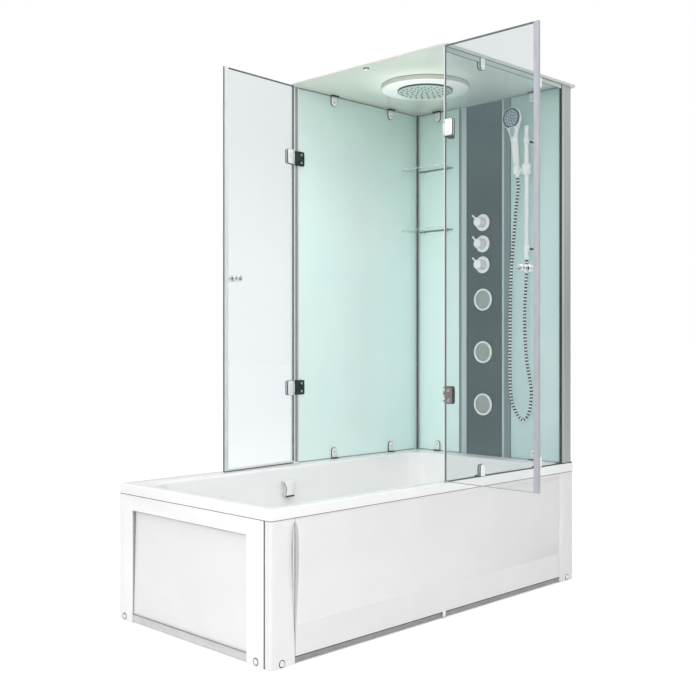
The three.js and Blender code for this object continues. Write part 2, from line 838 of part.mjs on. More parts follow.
function bathSpout() {
  const back = rearWallY(spoutBottom) - fit;
  const steps = 8;
  const levels = Array.from({ length: steps + 1 }, (_, i) => {
    const up = i / steps;
    const pinch = Math.sin(Math.PI * up) ** 2;
    const straight = THREE.MathUtils.lerp(spoutFoot, spoutWidth, up);
    const half = THREE.MathUtils.lerp(straight, spoutWaist, pinch) / 2;
    const depth = spoutDepth * (1 - spoutTaperShare * up * up);
    return {
      points: rounded(spoutPlace - half, spoutPlace + half, back - depth, back, [depth / 3, depth / 3, 0, 0]),
      at: THREE.MathUtils.lerp(spoutBottom, spoutTop, up),
    };
  });
  const mouth = block(
    spoutPlace - spoutFoot / 2 + spoutWall, spoutPlace + spoutFoot / 2 - spoutWall,
    back - spoutDepth + spoutLip, back - spoutWall,
    spoutBottom - overrun, spoutBottom + spoutMouth,
  );
  return cut(loft(levels, "z"), mouth);
}

piece("bath_spout", bathSpout(), chrome);

// Posts and fixed glass

const jambLeft = doorPlane - jambOut;
const jambRight = jambLeft + jambWidth;
const cornerLeft = sideOuter - cornerPost;
const cornerFront = rearInner + glass - cornerPost;
piece(
  "post_rear_left",
  plate(rounded(jambLeft, jambRight, rearInner, rearInner + jambDepth, edge, 1), glassBottom, glassTop, "z"),
  aluminium,
);
piece(
  "post_rear_corner",
  plate(rounded(cornerLeft, sideOuter, cornerFront, rearInner + glass, edge, 2), rimHeight + fit, glassTop, "z"),
  darkGlass,
);

function frontPost() {
  const x0 = frontPostLeft;
  const x1 = frontPostRight;
  const y0 = front + frontPostInset;
  const y1 = y0 + frontPostDepth;
  const wall = frontPostWall;
  const section = [
    [x0, y0 + frontPostFold], [x0 + frontPostBevel, y0], [x1 - frontPostStep, y0],
    [x1 - frontPostStep, y0 + frontPostFold], [x1 - wall / 2, y0 + frontPostFold],
    [x1, y0 + frontPostFold + wall / 2], [x1, y1], [x0, y1],
  ];
  const bore = block(
    x0 + wall, x1 - wall, y0 + frontPostFold + wall, y1 - wall,
    rimHeight - overrun, glassTop + overrun,
  );
  return cut(plate(section, rimHeight + fit, glassTop, "z"), bore);
}

piece("post_front_right", frontPost(), aluminium);

const hingeBolts = (centre) => [centre - boltSpacing / 2, centre + boltSpacing / 2];
const boltHole = boltRadius + boltPlay;
const frontBolts = hingeHeights.flatMap(hingeBolts);

const frontGlass = cut(
  block(doorPlane, frontPostLeft - fit, frontFace, frontInner, glassBottom, glassTop),
  ...frontBolts.map((z) => hole(
    boltHole, frontFace - overrun, frontInner + overrun, "y", [axisX + boltAlong, z], small,
  )),
);
piece("front_fixed_glass", frontGlass, clearGlass);

const rearBoltX = jambRight + rearBoltInset;
const rearGlass = cut(
  block(jambRight + fit, cornerLeft - fit, rearInner, rearInner + glass, glassBottom, glassTop),
  ...frontBolts.map((z) => hole(
    boltHole, rearInner - overrun, rearInner + glass + overrun, "y", [rearBoltX, z], small,
  )),
);
piece("rear_wall_glass", rearGlass, clearGlass);

const sideRear = block(sideInner, sideOuter, columnRear + fit, cornerFront - fit, glassBottom, glassTop);
piece("side_wall_glass_rear", sideRear, clearGlass);

const postRear = front + frontPostInset + frontPostDepth;
const sideFront = cut(
  block(sideInner, sideOuter, postRear + fit, columnFront - fit, glassBottom, glassTop),
  ...bracketHeights.map((z) => hole(
    boltHole, sideInner - overrun, sideOuter + overrun, "x", [railAcross, z], small,
  )),
);
piece("side_wall_glass_front", sideFront, clearGlass);

// Clamps: a rounded plate on the inner face of a pane, at the foot with a base on the rim

function clampOutline(centre, foot, tip) {
  const radius = clampWidth / 2;
  const sign = Math.sign(tip - foot);
  const tipCentre = tip - sign * radius;
  const arc = Array.from({ length: 2 * cornerSteps + 1 }, (_, i) => {
    const angle = (i / (2 * cornerSteps)) * Math.PI;
    return [centre + radius * Math.cos(angle), tipCentre + sign * radius * Math.sin(angle)];
  });
  return [...arc, [centre - radius, foot], [centre + radius, foot]];
}

// Inner faces of the panes: where the clamp's plate lies, and which way is into the cabin
const panes = {
  rear: { axis: "y", face: rearInner - fit, inward: -1, places: rearClampPlaces },
  front: { axis: "y", face: frontInner + fit, inward: 1, places: frontClampPlaces },
  side: { axis: "x", face: sideInner - fit, inward: -1, places: sideClampPlaces },
};

function clampPlate({ axis, face, inward }, centre, foot, tip) {
  const points = clampOutline(centre, foot, tip);
  return plate(points, face, face + inward * clampThickness, axis);
}

function clampBase({ axis, face, inward }, centre, z0, z1) {
  const far = face + inward * clampFoot;
  const [d0, d1] = [Math.min(face, far), Math.max(face, far)];
  const [c0, c1] = [centre - clampWidth / 2, centre + clampWidth / 2];
  return axis === "y" ? block(c0, c1, d0, d1, z0, z1) : block(d0, d1, c0, c1, z0, z1);
}

function footClamp(pane, centre) {
  const from = rimHeight + fit;
  return join(
    clampPlate(pane, centre, from, from + clampHeight),
    clampBase(pane, centre, from, from + clampThickness),
  );
}

for (const [side, pane] of Object.entries(panes)) {
  pane.places.forEach((centre, i) => {
    piece(`glass_clamp_${side}_${i + 1}`, footClamp(pane, centre), chrome);
  });
}

// Roof slab with its clamps and the stop that both doors close against

function roof() {
  const slab = plate(
    rounded(
      doorPlane - roofOverLeft, sideOuter + roofOverRight,
      frontFace - roofOverFront, rearInner + glass + roofOverRear, roofCorner,
    ),
    roofBottom, roofTop, "z",
  );
  const clamps = Object.values(panes).flatMap((pane) => pane.places.flatMap((centre) => [
    clampPlate(pane, centre, roofBottom + roofThickness / 2, glassTop - clampHeight),
    clampBase(pane, centre, roofBottom - clampThickness, roofBottom + lap),
  ]));
  const stopX = doorPlane + sealThickness / 2 + 2 * fit + stopRadius;
  const stop = rod(stopRadius, roofBottom - stopHeight, roofBottom + roofThickness / 2, "z", [stopX, 0]);
  const feedHoles = [[rainX, rainY], [mixerFront + feedRadius, mixerAcross]].map((place) =>
    hole(feedRadius + fit, roofBottom - overrun, roofTop + overrun, "z", place));
  return cut(join(slab, ...clamps, stop), ...feedHoles);
}

piece("roof", roof(), whitePlastic);

// Rain shower: a ring under the roof and its nozzle plate

const ringTop = roofBottom - fit;
const ringBottom = ringTop - rainBodyHeight;
const feedEnd = ringBottom + rainBodyHeight / 2;
const rainBody = turned(
  [
    [0, ringBottom], [rainRadius - rainBodyStep, ringBottom], [rainRadius, ringBottom + rainBodyStep],
    [rainRadius, ringTop], [feedRadius + fit, ringTop], [feedRadius + fit, feedEnd - fit], [0, feedEnd - fit],
  ],
  "z",
  [rainX, rainY],
  ringSides,
);
piece("rain_shower_ring", rainBody, whitePlastic);

const plateTop = ringBottom - fit;
const plateBottom = plateTop - rainPlateHeight;
const rainNozzles = turned(
  [
    [0, plateBottom], [rainPlate - rainPlateHeight / 2, plateBottom],
    [rainPlate, plateBottom + rainPlateHeight / 2], [rainPlate, plateTop], [0, plateTop],
  ],
  "z",
  [rainX, rainY],
  fine + round,
);
piece("rain_shower_plate", rainNozzles, chrome);

// Shelves in the rear right corner, notched round the corner post

function shelf(z) {
  const x1 = sideInner - fit;
  const y1 = rearInner - fit;
  const slab = plate(
    rounded(x1 - shelfDepth, x1, y1 - shelfLength, y1, [shelfCorner, 0, 0, 0]),
    z, z + shelfThickness, "z",
  );
  const notch = block(
    cornerLeft - fit, x1 + overrun, cornerFront - fit, y1 + overrun,
    z - overrun, z + shelfThickness + overrun,
  );
  return cut(slab, notch);
}

["lower", "upper"].forEach((name, i) => piece(`shelf_${name}`, shelf(shelfHeights[i]), clearGlass));

// Column: a folded aluminium housing with a rebate for its glass face, open at the back

const faceRear = columnRear - columnStripRear;
const faceFront = columnFront + columnStripFront;
const columnBottom = rimHeight + fit;
const columnBack = sideInner + columnDepth;

function columnHousing() {
  const lipFront = sideInner + glass + fit;
  const lipBack = lipFront + columnWall;
  const profile = (edge, strip, way) => [
    [sideInner, edge],
    [columnBack, edge],
    [columnBack, edge - way * columnWall],
    [sideInner + columnWall, edge - way * columnWall],
    [sideInner + columnWall, edge - way * (strip - columnWall)],
    [lipBack, edge - way * (strip - columnWall)],
    [lipBack, edge - way * (strip + columnLip)],
    [lipFront, edge - way * (strip + columnLip)],
    [lipFront, edge - way * strip],
    [sideInner, edge - way * strip],
  ];
  const cap = (z) => block(lipFront, columnBack, columnFront, columnRear, z, z + columnWall);
  const strap = (z) => block(
    columnBack - columnWall, columnBack, columnFront, columnRear, z - strapHeight / 2, z + strapHeight / 2,
  );
  const feed = hole(
    feedRadius + fit, columnTop - columnWall - overrun, columnTop + overrun,
    "z", [mixerFront + feedRadius, mixerAcross],
  );
  const body = join(
    plate(profile(columnRear, columnStripRear, 1), columnBottom, columnTop, "z"),
    plate(profile(columnFront, columnStripFront, -1), columnBottom, columnTop, "z"),
    cap(columnBottom),
    cap(columnTop - columnWall),
    ...strapHeights.map(strap),
  );
  return cut(body, feed);
}

piece("column_housing", columnHousing(), aluminium);

const valveHole = stemRadius + 2 * fit;
const columnFace = cut(
  block(sideInner, sideInner + glass, faceFront + fit, faceRear - fit, columnBottom, columnTop),
  ...valveHeights.map((z) => hole(
    valveHole, sideInner - overrun, sideInner + glass + overrun, "x", [valveAcross, z],
  )),
  ...jetHeights.map((z) => hole(
    jetNipple + fit, sideInner - overrun, sideInner + glass + overrun, "x", [jetAcross, z],
  )),
);
piece("column_face", columnFace, darkGlass);

// Mixer block in the column: body, valve stems and the pipe over the roof to the rain shower

const rosetteFace = sideInner - fit - rosetteThickness;
const handleEnd = rosetteFace - fit;
const handleFace = handleEnd - handleLength;

function mixerBlock() {
  const back = columnBack - columnWall - fit;
  const half = mixerWidth / 2;
  const body = plate(
    rounded(mixerFront, back, mixerAcross - half, mixerAcross + half, [0, columnWall, columnWall, 0], 2),
    mixerBottom, mixerTop, "z",
  );
  const stems = valveHeights.map((z) => rod(
    stemRadius, handleEnd - handleBore + 2 * fit, mixerFront + columnWall, "x", [valveAcross, z],
  ));
  const feedX = mixerFront + feedRadius;
  const bend = 2 * feedRadius;
  const feedZ = roofTop + bend + fit;
  const feed = pipe(
    [
      [feedX, mixerAcross, mixerTop - columnWall],
      [feedX, mixerAcross, feedZ],
      [rainX, rainY, feedZ],
      [rainX, rainY, feedEnd],
    ],
    bend,
    feedRadius,
  );
  return join(body, ...stems, feed);
}

piece("mixer_block", mixerBlock(), brass);

// Valves: rosette on the face, handle on the stem with a lever pin

valveHeights.forEach((z, i) => {
  const rosette = turned(
    [
      [valveHole, rosetteFace], [rosetteRadius - edge, rosetteFace], [rosetteRadius, rosetteFace + edge],
      [rosetteRadius, sideInner - fit], [valveHole, sideInner - fit], [valveHole, rosetteFace],
    ],
    "x",
    [valveAcross, z],
  );
  piece(`valve_rosette_${valveNames[i]}`, rosette, chrome);
  const body = turned(
    [
      [0, handleFace], [handleRadius - edge, handleFace], [handleRadius, handleFace + edge],
      [handleRadius, handleEnd], [0, handleEnd],
    ],
    "x",
    [valveAcross, z],
  );
  const bore = hole(stemRadius + fit, handleEnd - handleBore, handleEnd + overrun, "x", [valveAcross, z]);
  const at = (reach) => [
    handleFace + leverPlace, valveAcross + reach * Math.SQRT1_2, z + reach * Math.SQRT1_2,
  ];
  const lever = tube([at(handleRadius / 2), at(leverReach)], leverRadius, small);
  piece(`valve_handle_${valveNames[i]}`, join(cut(body, bore), lever), chrome);
});

// Body jets: a raised ring round a face, with a nipple into the mixer block

jetHeights.forEach((z, i) => {
  const face = sideInner - fit - jetThickness;
  const jet = turned(
    [
      [0, face + jetRecess], [jetRadius - jetBand, face + jetRecess], [jetRadius - jetBand, face],
      [jetRadius - edge, face], [jetRadius, face + edge], [jetRadius, sideInner - fit],
      [jetNipple, sideInner - fit], [jetNipple, mixerFront - fit], [0, mixerFront - fit],
    ],
    "x",
    [jetAcross, z],
  );
  piece(`body_jet_${jetNames[i]}`, jet, jetFace);
});

// Shower rail with its two wall brackets

function showerRail() {
  const rail = turned(
    [
      [0, railBottom], [railRadius, railBottom], [railRadius, railTop - edge], [railRadius - edge, railTop],
      [0, railTop],
    ],
    "z",
    [railX, railAcross],
    round,
  );
  const arms = bracketHeights.flatMap((z) => [
    rod(armRadius, railX, sideInner - fit, "x", [railAcross, z]),
    rod(bracketPad, sideInner - fit - bracketPadThickness, sideInner - fit, "x", [railAcross, z]),
    rod(boltRadius, sideInner - bracketPadThickness, sideOuter - fit, "x", [railAcross, z], small),
    rod(bracketRadius, z - bracketRadius, z + bracketRadius, "z", [railX, railAcross]),
  ]);
  return join(rail, ...arms);
}

piece("shower_rail", showerRail(), chrome);

const sliderBody = rod(sliderRadius, -sliderHeight / 2, sliderHeight / 2, "z", [0, 0]);
const sliderBore = hole(railRadius + fit, -sliderHeight, sliderHeight, "z", [0, 0]);
const lean = THREE.MathUtils.degToRad(handsetLean);
const armEnd = holderAcross - holderRadius / Math.cos(lean) - armRadius * Math.tan(lean) - fit;
const sliderArm = rod(armRadius, sliderRadius / 2, armEnd, "y", [0, 0]);
const slider = new THREE.Group();
slider.position.set(railX, railAcross, sliderPlace);
unit.add(slider);
piece("rail_slider", cut(join(sliderBody, sliderArm), sliderBore), chrome, slider);

// Holder and handset stand in a group that leans with the handset

const handset = new THREE.Group();
handset.position.set(railX, handsetY, sliderPlace);
handset.rotation.x = -lean;
unit.add(handset);

const gripAt = (z) => THREE.MathUtils.lerp(gripTailRadius, gripRadius, (z + holderHeight) / (gripTop + holderHeight));
const holderTop = holderHeight / 2;
const tail = -holderTop - handleTip;
const holderBore = turned(
  [
    [0, -holderTop - overrun], [gripAt(-holderTop - overrun) + fit, -holderTop - overrun],
    [gripAt(holderTop + overrun) + fit, holderTop + overrun], [0, holderTop + overrun],
  ],
  "z",
  [0, 0],
  round,
).scale(gripFlatShare, 1, 1);
const holderCup = turned(
  [
    [0, -holderTop], [holderRadius - edge, -holderTop], [holderRadius, edge - holderTop],
    [holderRadius, holderTop - edge], [holderRadius - edge, holderTop], [0, holderTop],
  ],
  "z",
  [0, 0],
);
piece("handset_holder", cut(holderCup, holderBore), chrome, handset);

function handsetBody() {
  const bands = 4;
  const profile = Array.from({ length: bands + 1 }, (_, i) => {
    const z = THREE.MathUtils.lerp(tail, headRise - headRadius / 2, i / bands);
    return [gripAt(z), z];
  });
  const grip = turned([[0, tail], ...profile, [0, headRise - headRadius / 2]], "z", [0, 0], round)
    .scale(gripFlatShare, 1, 1);
  const half = headThickness / 2;
  const head = turned(
    [
      [0, -half], [headRadius - edge, -half], [headRadius, edge - half], [headRadius, half - headBack],
      [headRadius - headShoulder, half], [0, half],
    ],
    "x",
    [0, headRise],
  );
  const socket = hole(
    faceRadius + fit, -half - overrun, faceThickness - half, "x", [0, headRise], fine,
  );
  return cut(join(grip, head), socket);
}

piece("handset_body", handsetBody(), chrome, handset);

const sprayBack = faceThickness - fit - headThickness / 2;
const sprayFace = turned(
  [
    [0, sprayBack - faceThickness - edge], [faceRadius - sprayBevel, sprayBack - faceThickness - edge],
    [faceRadius, sprayBack - faceThickness], [faceRadius, sprayBack], [0, sprayBack],
  ],
  "x",
  [0, headRise],
);
piece("handset_spray_face", sprayFace, whitePlastic, handset);

// Hose: from the handset's tail down in a loop and up to the rail's foot
const hoseStart = new THREE.Vector3(0, 0, tail - fit).applyEuler(handset.rotation).add(handset.position);
const hoseDown = new THREE.Vector3(0, 0, -1).applyEuler(handset.rotation);
const hoseRoute = [
  hoseStart,
  hoseStart.clone().addScaledVector(hoseDown, 2 * hoseRadius),
  hoseStart.clone().addScaledVector(hoseDown, 6 * hoseRadius),
  [750, -198, 1600],
  [750, -188, 1496],
  [750, -178, 1390],
  [750, -171, 1289],
  [750, -167, 1150],
  [750, -165, 1010],
  [750, -165, 900],
  [750, -168, 801],
  [750, -174, 757],
  [750, -188, 719],
  [750, -209, 686],
  [750, -234, 672],
  [750, -257, 690],
  [750, -270, 726],
  [750, -276, 791],
  [750, -268, 850],
  [750, -256, 907],
  [750, -246, 990],
  [750, -242, 1079],
  [750, -243, 1165],
  [750, -248, 1251],
  new THREE.Vector3(railX, railAcross, railBottom - fit - 6 * hoseRadius),
  new THREE.Vector3(railX, railAcross, railBottom - fit - 2 * hoseRadius),
  new THREE.Vector3(railX, railAcross, railBottom - fit),
].map((p) => (p.isVector3 ? p : new THREE.Vector3(...p)));

function showerHose() {
  const curve = new THREE.CatmullRomCurve3(hoseRoute, false, "centripetal");
  curve.arcLengthDivisions = 2000;
  const length = curve.getLength();
  const rings = [];
  rings.push([0, hoseRadius]);
  const share = (2 * hoseRadius) / length;
  for (let i = 0; i < hoseRibs; i += 1) {
    const from = THREE.MathUtils.lerp(share, 1 - share, i / hoseRibs);
    const middle = THREE.MathUtils.lerp(share, 1 - share, (i + 0.5) / hoseRibs);
    rings.push([from, hoseRadius - hoseGroove], [middle, hoseRadius]);
  }
  rings.push([1 - share, hoseRadius - hoseGroove], [1, hoseRadius]);
  const skin = (list) => tube(list.map(([u]) => curve.getPointAt(u)), list.map(([, r]) => r), hoseSides);
  const outer = skin(rings);
  const boreRings = rings.filter((_, i) => i % 10 === 0 || i === rings.length - 1).map(([u]) => [u, hoseBore]);
  const inner = skin(boreRings);
  const p = [...outer.attributes.position.array, ...inner.attributes.position.array];
  const shift = outer.attributes.position.count;
  const caps = (hoseSides - 2) * 6;
  const outerFaces = Array.from(outer.index.array).slice(0, -caps);
  const innerFaces = Array.from(inner.index.array).slice(0, -caps).map((i) => i + shift).reverse();
  const faces = [...outerFaces, ...innerFaces];
  const outerLast = (rings.length - 1) * hoseSides;
  const innerLast = shift + (boreRings.length - 1) * hoseSides;
  for (let k = 0; k < hoseSides; k += 1) {
    const n = (k + 1) % hoseSides;
    faces.push(k, shift + k, shift + n, k, shift + n, n);
    faces.push(outerLast + k, outerLast + n, innerLast + n, outerLast + k, innerLast + n, innerLast + k);
  }
  const geometry = new THREE.BufferGeometry();
  geometry.setAttribute("position", new THREE.Float32BufferAttribute(p, 3));
  geometry.setIndex(faces);
  if (volume(geometry) < 0) geometry.index.array.reverse();
  console.log(`hose length ${length.toFixed(0)} mm, least gap to itself ${leastGap(curve, length).toFixed(1)} mm`);
  return geometry;
}

// The least clear distance between stretches of the hose that lie well apart along it
function leastGap(curve, length) {
  const count = 400;
  const points = Array.from({ length: count + 1 }, (_, i) => curve.getPointAt(i / count));
  const apart = Math.ceil((8 * hoseRadius * count) / length);
  let least = Infinity;
  for (let i = 0; i <= count; i += 1) {
    for (let k = i + apart; k <= count; k += 1) least = Math.min(least, points[i].distanceTo(points[k]));
  }
  return least - 2 * hoseRadius;
}

piece("shower_hose", showerHose(), chrome);

// Hinge brackets on the fixed panes: knuckles with the pin, a leaf and two bolts through the glass

function knucklesWithPin(axisY, z) {
  const top = leafHeight / 2;
  const low = knuckle / 2 + fit;
  return [
    rod(hingePin, z - top, z + top, "z", [axisX, axisY], small),
    rod(barrel, z + low, z + top, "z", [axisX, axisY]),
    rod(barrel, z - top, z - low, "z", [axisX, axisY]),
  ];
}

function leafOutline(from, to, z) {
  return rounded(from, to, z - leafHeight / 2, z + leafHeight / 2, [0, leafCorner, leafCorner, 0]);
}

function rightBracket(z) {
  const outside = frontFace - fit;
  const inside = frontInner + fit;
  const low = knuckle / 2 + fit;
  const top = leafHeight / 2;
  const end = axisX + leafLength + hingeOffset;
  const neck = (from, to) => block(
    axisX + hingePin, axisX + leafStart + lap, outside - leafThickness, outside, z + from, z + to,
  );
  return join(
    ...knucklesWithPin(rightAxisY, z),
    neck(low, top),
    neck(-top, -low),
    plate(leafOutline(axisX + leafStart, end, z), outside - leafThickness, outside, "y"),
    plate(leafOutline(axisX + leafStart + 2 * leafThickness, end, z), inside, inside + leafThickness, "y"),
    ...hingeBolts(z).map((bolt) => rod(
      boltRadius, outside - lap, inside + lap, "y", [axisX + boltAlong, bolt], small,
    )),
  );
}

function leftBracket(z) {
  const face = rearInner - fit;
  const low = knuckle / 2 + fit;
  const top = leafHeight / 2;
  const end = rearBoltX + leafMargin;
  const neck = (from, to) => block(
    axisX + hingePin, axisX + leafStart + lap, face - leafThickness, leftAxisY + barrel - lap, z + from, z + to,
  );
  return join(
    ...knucklesWithPin(leftAxisY, z),
    neck(low, top),
    neck(-top, -low),
    plate(leafOutline(axisX + leafStart, end, z), face - leafThickness, face, "y"),
    ...hingeBolts(z).map((bolt) => rod(
      boltRadius, face - lap, rearInner + glass - fit, "y", [rearBoltX, bolt], small,
    )),
  );
}

// Doors: built in a frame with its origin on the hinge axis, X along the door, and swung open

function door(name, { axisY, width, inside, swing, bracket }) {
  const group = new THREE.Group();
  group.position.set(axisX, axisY, 0);
  group.rotation.z = THREE.MathUtils.degToRad(swing);
  unit.add(group);
  const z0 = rimHeight + doorBottom;
  const z1 = roofBottom - doorTop;
  const across = (a, b) => [inside * a, inside * b].sort((p, q) => p - q);
  const [g0, g1] = across(hingeOffset - glass / 2, hingeOffset + glass / 2);
  const bolts = hingeHeights.flatMap(hingeBolts);
  const holes = bolts.map((z) => hole(boltHole, g0 - overrun, g1 + overrun, "y", [boltAlong, z], small));
  const knobX = width - knobInset;
  const knobHole = hole(boltHole, g0 - overrun, g1 + overrun, "y", [knobX, knobHeight], small);
  const pane = block(doorStart, width - sealWidth + sealCover - fit, g0, g1, z0, z1);
  piece(`${name}_door_glass`, cut(pane, ...holes, knobHole), clearGlass, group);

  const [s0, s1] = across(hingeOffset - sealThickness / 2, hingeOffset + sealThickness / 2);
  const slot = block(
    width - sealWidth - overrun, width - sealWidth + sealCover, g0 - fit, g1 + fit,
    z0 - overrun, z1 + overrun,
  );
  const strip = plate(rounded(width - sealWidth, width, s0, s1, edge, 1), z0, z1, "z");
  piece(`${name}_door_seal`, cut(strip, slot), sealPlastic, group);

  const middle = inside * hingeOffset;
  const half = glass / 2 + fit;
  const profile = [
    [0, -half - knobLength], [knobRadius - edge, -half - knobLength], [knobRadius, edge - half - knobLength],
    [knobRadius, -half - knobBase - knobFlare], [knobNeck, -half - knobBase], [knobNeck, -half - edge],
    [knobRadius, -half - edge], [knobRadius, -half], [boltRadius, -half],
    [boltRadius, half], [knobRadius, half], [knobRadius, half + edge], [knobNeck, half + edge],
    [knobNeck, half + knobBase], [knobRadius, half + knobBase + knobFlare],
    [knobRadius, half + knobLength - edge], [knobRadius - edge, half + knobLength], [0, half + knobLength],
  ].map(([radius, along]) => [radius, middle + along]);
  piece(`${name}_door_knob`, turned(profile, "y", [knobX, knobHeight], round), chrome, group);

  const [o0, o1] = across(
    hingeOffset - glass / 2 - fit - leafThickness, hingeOffset - glass / 2 - fit,
  );
  const [i0, i1] = across(
    hingeOffset + glass / 2 + fit, hingeOffset + glass / 2 + fit + leafThickness,
  );
  hingeHeights.forEach((z, i) => {
    const place = i === 0 ? "lower" : "upper";
    const body = join(
      rod(barrel, z - knuckle / 2, z + knuckle / 2, "z", [0, 0]),
      block(hingePin, leafStart + lap, o0, o1, z - knuckle / 2, z + knuckle / 2),
      plate(leafOutline(leafStart, leafLength, z), o0, o1, "y"),
      plate(leafOutline(leafInnerStart, leafLength, z), i0, i1, "y"),
      ...hingeBolts(z).map((bolt) => rod(
        boltRadius, Math.min(o0, i0) + lap, Math.max(o1, i1) - lap, "y", [boltAlong, bolt], small,
      )),
    );
    const bore = hole(hingePin + pinPlay, z - leafHeight, z + leafHeight, "z", [0, 0], small);
    piece(`${name}_door_hinge_${place}`, cut(body, bore), chrome, group);
    piece(`${name}_hinge_bracket_${place}`, bracket(z), chrome);
  });
}

const quarter = 90;
door("left", {
  axisY: leftAxisY,
  width: leftDoorWidth,
  inside: 1,
  swing: -quarter - leftDoorAngle,
  bracket: leftBracket,
});
door("right", {
  axisY: rightAxisY,
  width: rightDoorWidth,
  inside: -1,
  swing: quarter - rightDoorAngle,
  bracket: rightBracket,
});

export default unit;
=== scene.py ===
# The looks of a tub and shower unit: acrylic bath, glass cabin with two doors, shower column, hand shower.
# Metres, +Z up, the front along -Y, the shower column at the +X end.
import json

import bmesh
import bpy
import numpy as np
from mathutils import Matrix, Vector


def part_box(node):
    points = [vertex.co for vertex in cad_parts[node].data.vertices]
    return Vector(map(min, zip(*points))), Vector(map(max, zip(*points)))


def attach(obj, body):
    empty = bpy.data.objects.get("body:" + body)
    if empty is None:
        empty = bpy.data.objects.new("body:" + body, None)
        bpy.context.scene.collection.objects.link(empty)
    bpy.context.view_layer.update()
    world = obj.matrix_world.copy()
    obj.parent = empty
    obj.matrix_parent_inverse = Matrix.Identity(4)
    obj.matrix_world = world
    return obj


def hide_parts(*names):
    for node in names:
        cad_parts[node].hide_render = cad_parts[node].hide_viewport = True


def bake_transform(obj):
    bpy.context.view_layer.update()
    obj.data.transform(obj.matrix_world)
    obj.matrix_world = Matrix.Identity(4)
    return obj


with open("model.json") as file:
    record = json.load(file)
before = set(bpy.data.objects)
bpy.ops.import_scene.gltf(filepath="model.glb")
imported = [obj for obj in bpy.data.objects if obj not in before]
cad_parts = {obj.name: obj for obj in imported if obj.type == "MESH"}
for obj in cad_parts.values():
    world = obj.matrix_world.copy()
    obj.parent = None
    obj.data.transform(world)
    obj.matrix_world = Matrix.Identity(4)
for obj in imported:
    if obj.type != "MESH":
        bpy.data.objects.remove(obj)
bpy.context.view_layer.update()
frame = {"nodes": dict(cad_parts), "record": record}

record = frame["record"]
slot_of = {part["node"]: part["material_slot"] for part in record["subparts"]}
body_of = {node: body for body, nodes in record["behaviour"]["bodies"].items() for node in nodes}
joints = {joint["name"]: joint for joint in record["behaviour"]["joints"]}

# Camera, measured in the photograph: 696 pixels square
picture = 696
focal_pixels = 1002.2
horizon_pixels = 7.2  # how far the horizon lies above the picture's middle
sensor = 36.0
camera_place = (-2.8583, -2.7468, 1.01345)
camera_turn = (90.0, 0.0, -45.234)

view = bpy.data.cameras.new("camera")
view.sensor_width = sensor
view.lens = focal_pixels / picture * sensor
view.shift_y = -horizon_pixels / picture
camera = bpy.data.objects.new("camera", view)
camera.location = camera_place
camera.rotation_euler = np.radians(camera_turn)
bpy.context.scene.collection.objects.link(camera)
bpy.context.scene.camera = camera


# Shapes: each is (points, faces, finish index of each face)

def array(*values):
    """The values as one array of floats."""
    return np.array(values, float)


def unit_vector(v):
    """Each vector divided by its length."""
    return v / np.linalg.norm(v, axis=-1, keepdims=True)


def grid(points, loop=False, caps=False, finish=0):
    """Rows of rings: each cell between two rows and two neighbouring ring points is a quad.
    loop joins the last row to the first; caps closes the first and last ring with one face each."""
    rows, columns = points.shape[:2]
    index = np.arange(rows * columns).reshape(rows, columns)
    if loop:
        index = np.vstack([index, index[:1]])
    right = np.roll(index, -1, axis=1)
    faces = np.stack([index[:-1], right[:-1], right[1:], index[1:]], -1).reshape(-1, 4).tolist()
    if caps:
        faces += [index[0, ::-1].tolist(), index[-1].tolist()]
    return points.reshape(-1, 3), faces, [finish] * len(faces)


def soften(corners, radius, steps=3, closed=False):
    """Rounds each corner: it becomes a quadratic curve from a point before it to one after it,
    at most half way along the shorter neighbouring run."""
    corners = np.asarray(corners, float)
    before = np.roll(corners, 1, axis=0)
    after = np.roll(corners, -1, axis=0)
    back, ahead = before - corners, after - corners
    lengths = np.stack([np.linalg.norm(back, axis=1), np.linalg.norm(ahead, axis=1)])
    reach = np.minimum(radius, 0.45 * lengths.min(axis=0))[:, None]
    start = corners + reach * back / np.maximum(lengths[0], 1e-9)[:, None]
    end = corners + reach * ahead / np.maximum(lengths[1], 1e-9)[:, None]
    t = np.linspace(0, 1, steps + 1)[None, :, None]
    curve = (1 - t) ** 2 * start[:, None] + 2 * t * (1 - t) * corners[:, None] + t**2 * end[:, None]
    if closed:
        return curve.reshape(-1, 2)
    return np.vstack([corners[:1], curve[1:-1].reshape(-1, 2), corners[-1:]])


def turned(profile, origin, direction=(0, 0, 1), sides=48, soft=0.0006, loop=False, finish=0):
    """A body of revolution. Its profile's corners are (radius, place along the axis), softened, and each is
    turned about the axis: origin + place * axis + radius * (cos a * side + sin a * other)."""
    axis = unit_vector(np.asarray(direction, float))
    side = unit_vector(np.cross(axis, (0.3, 1.0, 0.2)))
    other = np.cross(axis, side)
    radius, along = soften(profile, soft, closed=loop).T
    angle = 2 * np.pi * np.arange(sides) / sides
    ring = np.cos(angle)[:, None] * side + np.sin(angle)[:, None] * other
    centre = np.asarray(origin, float) + along[:, None, None] * axis
    return grid(centre + radius[:, None, None] * ring, loop=loop, finish=finish)


def rod(radius, start, end, place=(0, 0, 0), direction=(0, 0, 1), sides=48, soft=0.0006, finish=0):
    """A solid round body of one thickness between two places along its axis."""
    profile = [(0, start), (radius, start), (radius, end), (0, end)]
    return turned(profile, place, direction, sides, soft, finish=finish)


def hoop(inner, outer, start, end, place, direction=(0, 0, 1), sides=48, soft=0.0006, finish=0):
    """A ring of rectangular section between two radii and two places along its axis."""
    profile = [(inner, start), (outer, start), (outer, end), (inner, end)]
    return turned(profile, place, direction, sides, soft, loop=True, finish=finish)


